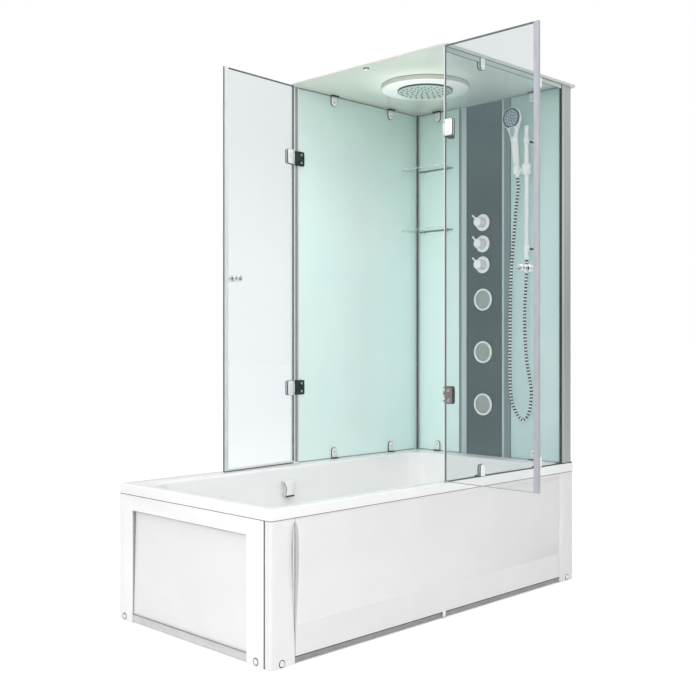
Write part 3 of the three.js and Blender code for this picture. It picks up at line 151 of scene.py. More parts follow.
def inset(outline, distance):
    """A closed outline moved inwards: each corner goes along the mean of its two edges' normals."""
    edge = unit_vector(np.roll(outline, -1, axis=0) - outline)
    normal = np.stack([edge[:, 1], -edge[:, 0]], -1)
    before = np.roll(normal, 1, axis=0)
    share = 1 + (before * normal).sum(1, keepdims=True)
    return outline - distance * (before + normal) / np.maximum(share, 0.2)


def placed(flat, at, axis):
    """Points (u, v) of a plane square to an axis, put at a place along it."""
    u, v = flat[..., 0], flat[..., 1]
    along = np.broadcast_to(at, u.shape)
    return np.stack({"x": (along, u, v), "y": (u, along, v), "z": (u, v, along)}[axis], -1)


def plate(outline, low, high, axis, bevel=0.0008, face=0, edge=0):
    """An outline carried along an axis, its edges rounded by a quarter circle: ring k is drawn in by
    bevel * (1 - cos t) and lies bevel * (1 - sin t) from the face."""
    outline = np.asarray(outline, float)
    x, y = outline[:, 0], outline[:, 1]
    if (x * np.roll(y, -1) - y * np.roll(x, -1)).sum() < 0:
        outline = outline[::-1]
    t = np.linspace(0, np.pi / 2, 4)
    inward = bevel * (1 - np.cos(t))
    rise = bevel * (1 - np.sin(t))
    rings = [placed(inset(outline, d), low + h, axis) for d, h in zip(inward[::-1], rise[::-1])]
    rings += [placed(inset(outline, d), high - h, axis) for d, h in zip(inward, rise)]
    points, faces, finishes = grid(np.stack(rings), caps=True, finish=edge)
    finishes[-2:] = [face, face]
    return points, faces, finishes


def rectangle(u0, u1, v0, v1, radii=0.0, steps=6):
    """A rectangle, anticlockwise from its lower left, with a quarter circle at each corner that has a
    radius."""
    radii = np.broadcast_to(radii, 4)
    centres = [(u0, v0, 1, 1, 2), (u1, v0, -1, 1, 3), (u1, v1, -1, -1, 0), (u0, v1, 1, -1, 1)]
    parts = []
    for radius, (u, v, du, dv, quarter) in zip(radii, centres):
        angle = (quarter + np.linspace(0, 1, steps + 1 if radius > 0 else 1)) * np.pi / 2
        centre = array(u + du * radius, v + dv * radius)
        parts.append(centre + radius * np.stack([np.cos(angle), np.sin(angle)], -1))
    return np.vstack(parts)


# Bevels of thin strips, trims and small plates
hairline, fine, line_bevel, thin, small = 0.0001, 0.0002, 0.0003, 0.0004, 0.0006


def box_shape(low, high, bevel=0.0008, finish=0):
    """A box between two corners, drawn as a plate of one finish."""
    outline = rectangle(low[0], high[0], low[1], high[1])
    return plate(outline, low[2], high[2], "z", bevel, finish, finish)


def tube(path, radius, across, sides=16, finishes=None):
    """A round section carried along a path: each ring is radius * (cos a * side + sin a * other) about its
    point, where other is square to the path and to a fixed direction, and side is square to both."""
    path = np.asarray(path, float)
    along = unit_vector(np.gradient(path, axis=0))
    other = unit_vector(np.cross(along, np.asarray(across, float)))
    side = np.cross(other, along)
    angle = 2 * np.pi * np.arange(sides) / sides
    ring = np.cos(angle)[:, None] * side[:, None] + np.sin(angle)[:, None] * other[:, None]
    radii = np.broadcast_to(radius, len(path))[:, None, None]
    points, faces, finish = grid(path[:, None] + radii * ring, caps=True)
    if finishes is not None:
        finish = [*np.repeat(finishes, sides).tolist(), 0, 0]
    return points, faces, finish


def copies(shape, places):
    """The same shape at each of the places."""
    points, faces, finishes = shape
    places = np.asarray(places, float)
    every = (points[None] + places[:, None]).reshape(-1, 3)
    faces = [[i + k * len(points) for i in face] for k in range(len(places)) for face in faces]
    return every, faces, finishes * len(places)


def moved(shape, turn, origin):
    """A shape made in a local frame, turned by a matrix and moved to its origin."""
    points, faces, finishes = shape
    return points @ np.asarray(turn).T + np.asarray(origin), faces, finishes


def about_z(degrees):
    """The matrix that turns about Z."""
    c, s = np.cos(np.radians(degrees)), np.sin(np.radians(degrees))
    return array((c, -s, 0), (s, c, 0), (0, 0, 1))


def about_x(degrees):
    """The matrix that turns about X."""
    c, s = np.cos(np.radians(degrees)), np.sin(np.radians(degrees))
    return array((1, 0, 0), (0, c, -s), (0, s, c))


def piece(name, shapes, finishes, nodes=(), body=None, slot=None, sharp=35):
    """Joins shapes into one mesh object, merges its seams and poles, points its faces outwards, and rides it
    on the body of the nodes that it stands for."""
    nodes = [nodes] if isinstance(nodes, str) else list(nodes)
    shapes = shapes if isinstance(shapes, list) else [shapes]
    points = np.vstack([shape[0] for shape in shapes])
    starts = np.cumsum([0] + [len(shape[0]) for shape in shapes])
    faces = [[i + start for i in face] for shape, start in zip(shapes, starts) for face in shape[1]]
    mesh = bpy.data.meshes.new(name)
    mesh.from_pydata(points.tolist(), [], faces)
    mesh.polygons.foreach_set("material_index", [i for shape in shapes for i in shape[2]])
    work = bmesh.new()
    work.from_mesh(mesh)
    bmesh.ops.remove_doubles(work, verts=work.verts, dist=1e-6)
    bmesh.ops.dissolve_degenerate(work, edges=work.edges, dist=1e-7)
    bmesh.ops.recalc_face_normals(work, faces=work.faces)
    work.to_mesh(mesh)
    work.free()
    for finish in finishes if isinstance(finishes, (list, tuple)) else [finishes]:
        mesh.materials.append(finish)
    mesh.shade_smooth()
    mesh.set_sharp_from_angle(angle=np.radians(sharp))
    made = bpy.data.objects.new(name, mesh)
    bpy.context.scene.collection.objects.link(made)
    if nodes:
        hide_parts(*nodes)
    if body != "blend":
        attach(made, body or body_of[nodes[0]])
    slot or slot_of[nodes[0]]
    return made


def box(node):
    """The lowest and the highest corner of a solid's box."""
    low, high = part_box(node)
    return np.array(low), np.array(high)


def middle_height(node):
    """The height of the middle of a solid's box."""
    return sum(box(node))[2] / 2


# Materials

def linear(code):
    """An sRGB hex colour as linear RGBA: ((c + 0.055) / 1.055) ** 2.4 of each channel, or c / 12.92 in the
    dark."""
    channels = array(*[int(code[i:i + 2], 16) / 255 for i in (1, 3, 5)])
    light = np.where(channels > 0.04045, ((channels + 0.055) / 1.055) ** 2.4, channels / 12.92)
    return (*light.tolist(), 1.0)


def add(tree, kind, inputs=(), **settings):
    """Adds a node with its settings; an input is a value, or the socket that feeds it."""
    made = tree.nodes.new(kind)
    for key, value in settings.items():
        setattr(made, key, value)
    for key, value in dict(inputs).items():
        if isinstance(value, bpy.types.NodeSocket):
            tree.links.new(value, made.inputs[key])
        else:
            made.inputs[key].default_value = value
    return made


def mottled(tree, colours, size, stretch=(1, 1, 1), detail=3.0):
    """A colour that wanders between two over patches of a real size in metres, and the noise behind it."""
    place = add(tree, "ShaderNodeTexCoord").outputs["Object"]
    scaled = add(tree, "ShaderNodeMapping", {"Vector": place, "Scale": stretch}).outputs["Vector"]
    noise = add(tree, "ShaderNodeTexNoise", {"Vector": scaled, "Scale": 1 / size, "Detail": detail})
    ramp = add(tree, "ShaderNodeValToRGB", {"Fac": noise.outputs["Fac"]})
    for stop, share, code in zip(ramp.color_ramp.elements, (0.35, 0.65), colours):
        stop.position = share
        stop.color = linear(code)
    return ramp.outputs["Color"], noise.outputs["Fac"]


def material(name, colours, roughness, size=0.05, stretch=(1, 1, 1), grain=None, **sockets):
    """A Principled material whose colour wanders between two shades. roughness is (lowest, highest), grain
    is (size, height) in metres of a fine relief, and sockets are its uniform values."""
    made = bpy.data.materials.new(name)
    made.use_nodes = True
    tree = made.node_tree
    shader = tree.nodes["Principled BSDF"]
    colour, noise = mottled(tree, colours, size, stretch)
    tree.links.new(colour, shader.inputs["Base Color"])
    span = {"Value": noise, "To Min": roughness[0], "To Max": roughness[1]}
    rough = add(tree, "ShaderNodeMapRange", span)
    tree.links.new(rough.outputs["Result"], shader.inputs["Roughness"])
    if grain:
        fine = mottled(tree, colours, grain[0], stretch, detail=1.0)[1]
        bump = add(tree, "ShaderNodeBump", {"Height": fine, "Distance": grain[1], "Strength": 1.0})
        tree.links.new(bump.outputs["Normal"], shader.inputs["Normal"])
    for key, value in sockets.items():
        shader.inputs[key.replace("_", " ")].default_value = value
    return made


def height_share(tree, low, high, start=0.0, end=1.0):
    """A value that goes smoothly from start to end between two heights."""
    place = add(tree, "ShaderNodeTexCoord").outputs["Object"]
    z = add(tree, "ShaderNodeSeparateXYZ", {"Vector": place}).outputs["Z"]
    values = {"Value": z, "From Min": low, "From Max": high, "To Min": start, "To Max": end}
    return add(tree, "ShaderNodeMapRange", values, interpolation_type="SMOOTHSTEP").outputs["Result"]


def sheer(made, face, grazing, rise=None):
    """Lets light through: the alpha rises from face, seen square on, to grazing, seen along the surface. The
    far side of a pane, met from within, adds nothing. rise is (start, end, times): from one height to the
    other, the alpha grows to times as much."""
    tree = made.node_tree
    weight = add(tree, "ShaderNodeLayerWeight", {"Blend": 0.35}).outputs["Facing"]
    alpha = add(tree, "ShaderNodeMapRange", {"Value": weight, "To Min": face, "To Max": grazing})
    within = add(tree, "ShaderNodeNewGeometry").outputs["Backfacing"]
    front = add(tree, "ShaderNodeMath", {0: 1.0, 1: within}, operation="SUBTRACT").outputs[0]
    cover = add(tree, "ShaderNodeMath", {0: alpha.outputs["Result"], 1: front}, operation="MULTIPLY")
    if rise:
        times = height_share(tree, rise[0], rise[1], 1.0, rise[2])
        cover = add(tree, "ShaderNodeMath", {0: cover.outputs[0], 1: times}, operation="MULTIPLY")
    tree.links.new(cover.outputs[0], tree.nodes["Principled BSDF"].inputs["Alpha"])
    return made


def shaded_above(made, low, high, shade):
    """Tints the base colour towards shade between two heights: colour * (1 + (shade - 1) * smoothstep)."""
    tree = made.node_tree
    shader = tree.nodes["Principled BSDF"]
    share = height_share(tree, low, high)
    tint = add(tree, "ShaderNodeMix", {0: share, 6: (1, 1, 1, 1), 7: (*shade, 1)}, data_type="RGBA")
    colour = shader.inputs["Base Color"].links[0].from_socket
    layers = {0: 1.0, 6: colour, 7: tint.outputs[2]}
    mixed = add(tree, "ShaderNodeMix", layers, data_type="RGBA", blend_type="MULTIPLY")
    tree.links.new(mixed.outputs[2], shader.inputs["Base Color"])
    return made


# Vacuum-formed cast acrylic: white, deep gloss, with a faint waviness from the mould
acrylic = material(
    "cast_acrylic", ("#f7f7f7", "#fafafa"), (0.2, 0.26), size=0.18, grain=(0.012, 0.00002), Coat_Weight=0.1
)
# The bath's acrylic painted a faint grey: painted shade on the left corner cover and in the end panel's
# recessed field
pale_acrylic_painted_shade = material(
    "pale_apron_acrylic", ("#ebebeb", "#eeeeee"), (0.35, 0.4), size=0.18, Specular_IOR_Level=0.2
)
# The same acrylic painted greyer: painted shade on the front panel, the right corner cover and the end
# panel's rear cheek
apron_acrylic = material(
    "apron_acrylic", ("#e7e7e7", "#eaeaea"), (0.35, 0.4), size=0.18, Specular_IOR_Level=0.2
)
# Shaded acrylic: the bevel that closes the hollow
shaded_acrylic = material("shaded_apron_acrylic", ("#bdbdbd", "#c3c3c3"), (0.35, 0.4), size=0.05)
# Matt grey: joint sealant, and painted shade in narrow corners, recesses and gaps
joint_and_shade_grey = material("grey_joint_sealant", ("#8d9191", "#989c9c"), (0.5, 0.6), size=0.01)
# The plinth's powder coat painted lighter on its left end: painted light where the lamps from the left fall
# on it
lit_plinth_coat = material("light_plinth_coat", ("#d3d3d3", "#dadada"), (0.4, 0.5), size=0.03)
# Powder-coated steel: satin grey with the fine peel of the powder
coated_steel = material(
    "powder_coated_steel", ("#949696", "#9fa1a0"), (0.42, 0.5), size=0.03, grain=(0.0015, 0.00003)
)
# Anodised aluminium: satin, with die lines along the extrusion
anodised = material(
    "anodised_aluminium", ("#b3b4b4", "#bdbebe"), (0.3, 0.42), size=0.004, stretch=(1, 1, 0.02), Metallic=0.55
)
# Light anodised aluminium of the column's strips: a bluish satin
column_strip = material(
    "satin_column_aluminium", ("#828f92", "#8a9799"), (0.3, 0.4), size=0.004, stretch=(1, 1, 0.02),
    Metallic=0.35,
)
# Light edge trims of the column
column_trim = material(
    "light_column_trim", ("#bccac9", "#c6d2d1"), (0.25, 0.35), size=0.004, stretch=(1, 1, 0.02)
)
# Back-painted toughened glass: dark slate, smooth
slate_glass = material(
    "slate_back_painted_glass", ("#4a5052", "#505658"), (0.12, 0.2), size=0.35, Coat_Weight=0.2
)
# Black glass of the corner post
black_glass = material("black_corner_glass", ("#4d5b58", "#566460"), (0.15, 0.25), size=0.2)
# Injection-moulded ABS: white, glossy, with a fine moulded skin
white_abs = material(
    "moulded_white_abs", ("#fafcfa", "#ffffff"), (0.2, 0.28), size=0.06, grain=(0.003, 0.00001)
)
# Ceiling skin of the roof: warm white sheet
ceiling = material("cast_ceiling_acrylic", ("#f1f8ec", "#f4faf0"), (0.04, 0.07), size=0.3)
# White painted grey-white: painted shade on the roof's edge band and on the rain ring's side
shaded_white_edge = material("roof_edge_band", ("#cdd1c8", "#d4d8cf"), (0.3, 0.4), size=0.05)
# Chrome plate: mirror bright with faint wipe marks
chrome = material("chrome_plate", ("#e8ecee", "#f2f5f6"), (0.05, 0.09), size=0.03, Metallic=1.0)
# Brushed steel of the hinge leaves: bright, with a cloudy polish; the same steel paints shade on the spout's
# sides and in the door hinges' sockets
steel_leaf_and_shade = material(
    "polished_steel_leaf", ("#cfd3d5", "#e2e5e6"), (0.1, 0.2), size=0.012, Metallic=1.0
)
# Satin chrome of the fittings: bright, half mirror
bright_chrome = material("satin_chrome", ("#f9fbfb", "#ffffff"), (0.1, 0.18), size=0.02, Metallic=0.15)
# Caps of the clamps on the front glass, painted plain white: painted light on them
lit_cap = material("white_abs_cap", ("#ffffff", "#ffffff"), (0.3, 0.4), size=0.02)
# Polished steel painted dark: the leaves on the wall, and painted shade on clamp edges and bases, screw
# collars, the door stop's plate, bracket necks, the spout's front left edge and dark outlines
dark_steel_shade = material(
    "dark_polished_steel", ("#2f3a38", "#3d4946"), (0.15, 0.25), size=0.01, Metallic=0.5
)
# Polished steel painted brown-grey on the right door's lower hinge: a painted reflection
brown_reflection_steel = material(
    "brown_polished_steel", ("#877b7b", "#948888"), (0.15, 0.25), size=0.012, Metallic=0.4
)
# Toughened clear glass: almost without colour, and more opaque towards its foot
clear_glass = sheer(
    material("clear_toughened_glass", ("#7e9aa1", "#849fa6"), (0.02, 0.05), size=0.4, IOR=1.52),
    0.05, 0.16, (0.72, 0.56, 2.3),
)
# The right door's glass: the same, with the reflection of the room over its top
door_clear = sheer(
    material("right_door_glass", ("#6d878c", "#738c91"), (0.02, 0.05), size=0.4, IOR=1.52),
    0.08, 0.18, (1.5, 1.95, 3.2),
)
# The left door's glass, with a painted reflection of the bright wall behind the viewer in it
pale_glass = sheer(
    material("pale_toughened_glass", ("#b9d6e2", "#c2dde8"), (0.02, 0.05), size=0.4, IOR=1.52), 0.2, 0.45
)
# Darker towards the top of that painted reflection
shaded_above(pale_glass, 1.1, 1.95, (0.3, 0.4, 0.38))
# Mint wall glass: toughened glass with a mint coat on its back
mint_glass = sheer(
    material("mint_coated_glass", ("#e6fffb", "#ecfffd"), (0.06, 0.1), size=0.5, IOR=1.52), 0.96, 1.0
)
# Darker towards the top: painted shade under the roof
shaded_above(mint_glass, 1.35, 2.1, (0.76, 0.8, 0.77))
# The same glass beside the front post, in the shade of the door
mint_shaded = sheer(
    material("shaded_mint_glass", ("#cbe5e4", "#d0e8e7"), (0.06, 0.1), size=0.5, IOR=1.52), 0.96, 1.0
)
shaded_above(mint_shaded, 1.35, 2.1, (0.8, 0.84, 0.82))
# Polished glass edge: the green of the glass's own thickness
glass_edge = sheer(
    material("polished_glass_edge", ("#5f6f6e", "#738382"), (0.08, 0.15), size=0.05), 0.85, 1.0
)
# Polished edge turned to the light: pale and barely seen against a bright wall
lit_edge = sheer(material("lit_glass_edge", ("#d3e7e1", "#deeee9"), (0.08, 0.15), size=0.05), 0.3, 0.45)
# PVC seal: milky and matt
seal_pvc = material(
    "milky_pvc_seal", ("#abaeb4", "#b5b8be"), (0.35, 0.5), size=0.02, stretch=(1, 1, 0.3)
)
# Paler seal of the left door
pale_seal = material(
    "pale_pvc_seal", ("#dfe3e4", "#e9ecec"), (0.35, 0.5), size=0.02, stretch=(1, 1, 0.3)
)
# Smoked trim along the doors' edges
smoked_trim = material("smoked_pvc_trim", ("#5a6163", "#666d6f"), (0.35, 0.5), size=0.02)
# EPDM gasket: black rubber; the same black paints shade in gaps, sockets, outlines and the spout's mouth
black_rubber_and_shade = material("epdm_gasket", ("#1c2021", "#262a2b"), (0.5, 0.65), size=0.01)
# Polypropylene of the waste set: matt charcoal
waste_pp = material(
    "matt_polypropylene", ("#2a2c2e", "#34373a"), (0.45, 0.6), size=0.02, grain=(0.001, 0.00002)
)
# Raw cast brass: dull gold with a sandy skin
cast_brass = material(
    "cast_brass", ("#a98a55", "#bb9b63"), (0.35, 0.5), size=0.01, grain=(0.001, 0.00004), Metallic=0.9
)
# Silicone nozzle pads: grey-green rubber
nozzle_pad = material("silicone_nozzle_pad", ("#a6b1a9", "#b0bab3"), (0.35, 0.45), size=0.01)
# Rain shower's pad: the same rubber, paler
rain_pad = material("pale_silicone_pad", ("#adbeb4", "#b4c5bb"), (0.35, 0.45), size=0.01)
# Hand shower's inlay: light grey plastic
inlay_grey = material("light_grey_inlay", ("#aab8bc", "#b2bfc3"), (0.3, 0.4), size=0.01)
# Hand shower's spray face: blue-grey plastic
spray_grey = material("blue_grey_spray_face", ("#9dadba", "#a8b7c3"), (0.3, 0.4), size=0.01)
# Its nozzle tips: dark silicone, drawn larger than the real 3 mm so that they show
slate_tip = material("slate_silicone_tip", ("#2c3a44", "#36454f"), (0.4, 0.5), size=0.004)
# Nozzle tips: darker silicone
nozzle_tip = material("dark_silicone_tip", ("#4a5453", "#566160"), (0.4, 0.5), size=0.004)

# Hose: the route that the hand shower's hose follows, from the handset's tail to the rail's foot
hose_diameter = 0.0144
hose_pitch = 0.0145  # from rib to rib: the real ribs are closer, and are drawn this coarse so that they show
hose_groove = 0.0005
fit = 0.0003
rail_x = 0.748
rail_y = -0.253
rail_foot = 1.362
hose_start = array(0.748, -0.20557, 1.72583)
hose_down = array(0, -0.09758, -0.99523)
hose_end = array(rail_x, rail_y, rail_foot - fit)
hose_plane = 0.75  # the X of the plane that its middle hangs in
straight = array(0, 0, 1) * hose_diameter
hose_route = [
    hose_start,
    hose_start + hose_down * hose_diameter,
    hose_start + hose_down * hose_diameter * 3,
    *((hose_plane, y, z) for y, z in (
        (-0.198, 1.6), (-0.188, 1.496), (-0.178, 1.39), (-0.171, 1.289), (-0.167, 1.15), (-0.165, 1.01),
        (-0.165, 0.9), (-0.168, 0.801), (-0.174, 0.757), (-0.188, 0.719), (-0.209, 0.686), (-0.234, 0.672),
        (-0.257, 0.69), (-0.27, 0.726), (-0.276, 0.791), (-0.268, 0.85), (-0.256, 0.907), (-0.246, 0.99),
        (-0.242, 1.079), (-0.243, 1.165), (-0.248, 1.251),
    )),
    hose_end - straight * 3,
    hose_end - straight,
    hose_end,
]


def catmull_rom(points, steps=200):
    """A centripetal Catmull-Rom curve: each run is a cubic between two points whose slopes come from the four
    nearest points, spaced by the square root of their distances."""
    points = np.array([list(p) for p in points], float)
    first = 2 * points[0] - points[1]
    last = 2 * points[-1] - points[-2]
    p = np.vstack([first, points, last])
    gap = np.linalg.norm(np.diff(p, axis=0), axis=1)[:, None] ** 0.5
    p0, p1, p2, p3 = p[:-3], p[1:-2], p[2:-1], p[3:]
    d0, d1, d2 = gap[:-2], gap[1:-1], gap[2:]
    m1 = d1 * ((p1 - p0) / d0 - (p2 - p0) / (d0 + d1) + (p2 - p1) / d1)
    m2 = d1 * ((p2 - p1) / d1 - (p3 - p1) / (d1 + d2) + (p3 - p2) / d2)
    t = (np.arange(steps) / steps)[None, :, None]
    a, b, m, n = p1[:, None], p2[:, None], m1[:, None], m2[:, None]
    curve = a + m * t + (3 * (b - a) - 2 * m - n) * t**2 + (2 * (a - b) + m + n) * t**3
    return np.vstack([curve.reshape(-1, 3), points[-1:]])


hose_curve = catmull_rom(hose_route)
hose_along = np.concatenate([[0], np.cumsum(np.linalg.norm(np.diff(hose_curve, axis=0), axis=1))])
hose_length = hose_along[-1]
hose_bottom = hose_along[hose_curve[:, 2].argmin()]


def hose_at(s):
    """The point that lies a length s along the hose."""
    return np.stack([np.interp(s, hose_along, hose_curve[:, i]) for i in range(3)], -1)


# Ribbed chrome hose: wound metal strip, bright ribs with the grooves between them painted dark as shade
hose_rib = material("chrome_hose_strip", ("#f0f3f4", "#fafbfb"), (0.15, 0.25), size=0.01, Metallic=0.3)
hose_groove_shade = material("hose_groove", ("#07080c", "#0d0e13"), (0.4, 0.55), size=0.005)


def hose_stretch(name, start, end):
    """A length of the hose: rib after rib, each a raised band with rounded shoulders and a groove after it.
    A stretch shorter than a cord may be is a plain piece."""
    ribs = round((end - start) / hose_pitch)
    pitch = (end - start) / ribs
    shares = array(0.0, 0.04, 0.12, 0.34, 0.44, 0.48, 0.97)
    heights = array(0.0, 0.75, 1.0, 1.0, 0.75, 0.0, 0.0)
    s = (start + pitch * (np.arange(ribs)[:, None] + shares)).ravel()
    radius = hose_diameter / 2 - hose_groove * (1 - np.tile(heights, ribs))
    s = np.append(s, end)
    radius = np.append(radius, hose_diameter / 2 - hose_groove)
    # The grooves' faces are painted dark: painted shade
    dark = np.tile([0, 0, 0, 0, 0, 1, 1], ribs)
    shape = tube(hose_at(s), radius, (1, 0, 0), sides=14, finishes=dark)
    made = piece(name, shape, [hose_rib, hose_groove_shade], nodes=["shower_hose"], body="blend", sharp=60)
    if end - start < 6 * hose_diameter:
        return made
    return made


hose_give, hose_bend = 0.014, 0.101  # where the stretches that follow the handset and the holder end
hose_first = hose_stretch("hose_at_handset", 0, hose_give)
hose_second = hose_stretch("hose_under_holder", hose_give, hose_bend)
hose_third = hose_stretch("hose_falling", hose_bend, hose_bottom)
hose_fourth = hose_stretch("hose_rising", hose_bottom, hose_length)
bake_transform(hose_first)
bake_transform(hose_second)
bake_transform(hose_third)
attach(hose_fourth, "unit")

# Bath
rim_height = 0.495
rim_lip = 0.035
rim_corner = 0.009
rim_edge = 0.005
rim_round = 0.012
shell = 0.006
bath_low, bath_high = box("bath_shell")
rim = array(-0.812, 0.715, -0.382, 0.335)  # inner edges of the rim: left, right, front, rear
slope = array(0.172, 0.075, 0.122, 0.095)  # how far the floor lies inside them
tub_radii = array(0.045, 0.06, 0.11, 0.13)
floor_radius = 0.12
floor_height = 0.1
wall_bend = 0.55  # how soon the wall straightens above the floor


def basin_ring(share, grow=0.0, inward=rim_round):
    """The basin's outline: share 0 is under the rim's rounding and share 1 at the floor, and grow adds the
    wall."""
    lean = inward + share * (slope - rim_round) - grow
    radii = (tub_radii - inward) * (1 - share) + floor_radius * share + grow
    left, right, front, rear = rim + lean * (1, -1, 1, -1)
    return rectangle(left, right, front, rear, radii, steps=12)


def outer_ring(inward):
    """The lip's outline, drawn in by a distance."""
    low, high = bath_low[:2] + inward, bath_high[:2] - inward
    return rectangle(low[0], high[0], low[1], high[1], max(rim_corner - inward, 0.002), steps=12)


def bath():
    """Rings from the middle of the floor's underside out to the lip, over the rim and down into the basin. A
    wall ring at height share h leans by 1 - h ** wall_bend of the whole slope."""
    shares = np.linspace(0, 1, 22) ** 1.6
    wall_top = rim_height - rim_round
    walls = [(1 - h**wall_bend, floor_height + h * (wall_top - floor_height)) for h in shares]
    turn = np.linspace(0, np.pi / 2, 6)
    middle = basin_ring(1.0).mean(axis=0)
    floor = [middle + (basin_ring(1.0) - middle) * s for s in (0.02, 0.35, 0.7, 0.93)]
    rings = [placed(ring, floor_height - shell, "z") for ring in floor]
    rings += [placed(basin_ring(s, shell), z - shell * s, "z") for s, z in walls[::3]]
    rings += [
        placed(basin_ring(0, shell, rim_round / 2), rim_height - shell, "z"),
        placed(outer_ring(shell), rim_height - shell, "z"),
        placed(outer_ring(shell), rim_height - rim_lip, "z"),
        placed(outer_ring(0.0008), rim_height - rim_lip, "z"),
        placed(outer_ring(0.0), rim_height - rim_lip + 0.0012, "z"),
    ]
    rings += [
        placed(outer_ring(rim_edge * (1 - np.cos(t))), rim_height - rim_edge * (1 - np.sin(t)), "z")
        for t in turn
    ]
    rings += [
        placed(basin_ring(0, 0.0, rim_round * np.sin(t)), rim_height - rim_round * (1 - np.cos(t)), "z")
        for t in turn
    ]
    rings += [placed(basin_ring(s), z, "z") for s, z in walls[::-1]]
    rings += [placed(ring, floor_height, "z") for ring in floor[::-1]]
    return grid(np.stack(rings), caps=True)


piece("bath_shell_smooth", bath(), acrylic, "bath_shell", sharp=50)

# Aprons
apron_thickness = 0.006
cover_left, cover_right = box("corner_cover_front_left"), box("corner_cover_front_right")
apron_front = cover_left[0][1]
apron_top = cover_left[1][2]
seam_half = 0.0032  # how far each edge stands back from the seam at the corner
cover_rear = cover_left[1][1] - seam_half
cover_width = 0.1
scoop = array(0.031, 0.014)  # width and depth of the lens-shaped hollow
scoop_ends = (0.02, 0.445)
bevel = array(0.015, 0.005)  # width and depth of the panel's bevel beside it
lens_rise, lens_fall = 1.75, 0.5
least_lip, least_bevel = 0.0012, 0.0008  # their widths where the hollow ends
sections, draw_in = 70, 0.001  # up a cover or the panel, and how far the outermost ones are drawn in
seam_gap = 0.0006
apron_return = 0.006


def lens(z):
    """How deep the hollow is at a height: s ** rise * (1 - s) ** fall, scaled to 1 at its deepest."""
    s = np.clip((z - scoop_ends[0]) / (scoop_ends[1] - scoop_ends[0]), 0, 1)
    peak = lens_rise / (lens_rise + lens_fall)
    return s**lens_rise * (1 - s) ** lens_fall / (peak**lens_rise * (1 - peak) ** lens_fall)


def corner_cover(mirror):
    """A section carried up the cover: the return, the round corner, the flat face and a curve that dips into
    the hollow, then the same offset by the wall."""
    left = -abs(cover_left[0][0])
    seam = left + cover_width - seam_gap
    heights = np.concatenate([[0, draw_in], np.linspace(0.012, apron_top - 0.002, sections), [apron_top]])
    drawn = np.concatenate([[draw_in], np.zeros(sections + 1), [draw_in]])
    angle = np.pi * (1 + np.linspace(0, 0.5, 9))
    s = np.linspace(0, 1, 12)
    rings = []
    for z, inward in zip(heights, drawn):
        depth = lens(z)
        lip = least_lip + scoop[0] * depth
        corner = array(left, apron_front) + rim_corner * (1 + np.stack([np.cos(angle), np.sin(angle)], -1))
        dip = np.stack([seam - lip * (1 - s), apron_front + scoop[1] * depth * s**1.7], -1)
        inner = dip[::-1] + array(-inward, apron_thickness)
        back = [(left + apron_thickness, apron_front + apron_thickness), (left + apron_thickness, cover_rear)]
        outline = np.vstack([[(left, cover_rear)], corner, dip, inner, back])
        outline[: 1 + len(corner) + len(dip)] += array(0, inward)
        outline[: 1 + len(corner), 0] += inward
        rings.append(placed(outline * array(mirror, 1), z, "z"))
    return grid(np.stack(rings), caps=True)


# Both covers are painted greyer than the bath, the right one more: painted shade
piece("corner_cover_left_smooth", corner_cover(1), pale_acrylic_painted_shade, "corner_cover_front_left")
piece("corner_cover_right_smooth", corner_cover(-1), apron_acrylic, "corner_cover_front_right")


def front_apron():
    """A section carried up the panel: its face, at each end a bevel as wide as the hollow is deep there, and
    a flange behind it."""
    low, high = box("front_panel")
    low[0], high[0] = low[0] + seam_gap, high[0] - seam_gap
    middle = np.linspace(low[2] + 0.01, high[2] - 0.002, sections)
    heights = np.concatenate([[low[2], low[2] + draw_in], middle, [high[2]]])
    s = np.linspace(0, 1, 8)
    rings = []
    for k, z in enumerate(heights):
        wide = least_bevel + bevel[0] * lens(z)
        inward = draw_in if k in (0, len(heights) - 1) else 0.0
        curve_x = wide * (1 - s) ** 1.6
        curve_y = low[1] + inward + (bevel[1] - inward) * s
        left = np.stack([low[0] + curve_x, curve_y], -1)
        right = np.stack([high[0] - curve_x, curve_y], -1)[::-1]
        back = low[1] + apron_thickness
        flanges = [
            (high[0], high[1]), (high[0] - apron_return, high[1]), (high[0] - apron_return, back),
            (low[0] + apron_return, back), (low[0] + apron_return, high[1]), (low[0], high[1]),
        ]
        outline = np.vstack([left[::-1], right[::-1], flanges])
        rings.append(placed(outline, z, "z"))
    points, faces, finishes = grid(np.stack(rings), caps=True)
    columns = np.array(finishes[:-2]).reshape(len(rings) - 1, -1)
    columns[:, 3:7] = 1  # the bevel at the left seam, painted in shade
    columns[:, :3] = 2  # and its innermost part, painted in deeper shade
    return points, faces, [*columns.ravel().tolist(), 0, 0]


# The panel's face is painted greyer than the bath: painted shade
piece("front_panel_smooth", front_apron(), [apron_acrylic, shaded_acrylic, joint_and_shade_grey], "front_panel")

field_top, field_bottom = 0.404, 0.032
field_legs = array(0.083, 0.078)  # front and rear leg
field_depth = array(0.008, 0.018)  # at its foot and at its top
field_pillow = 0.003


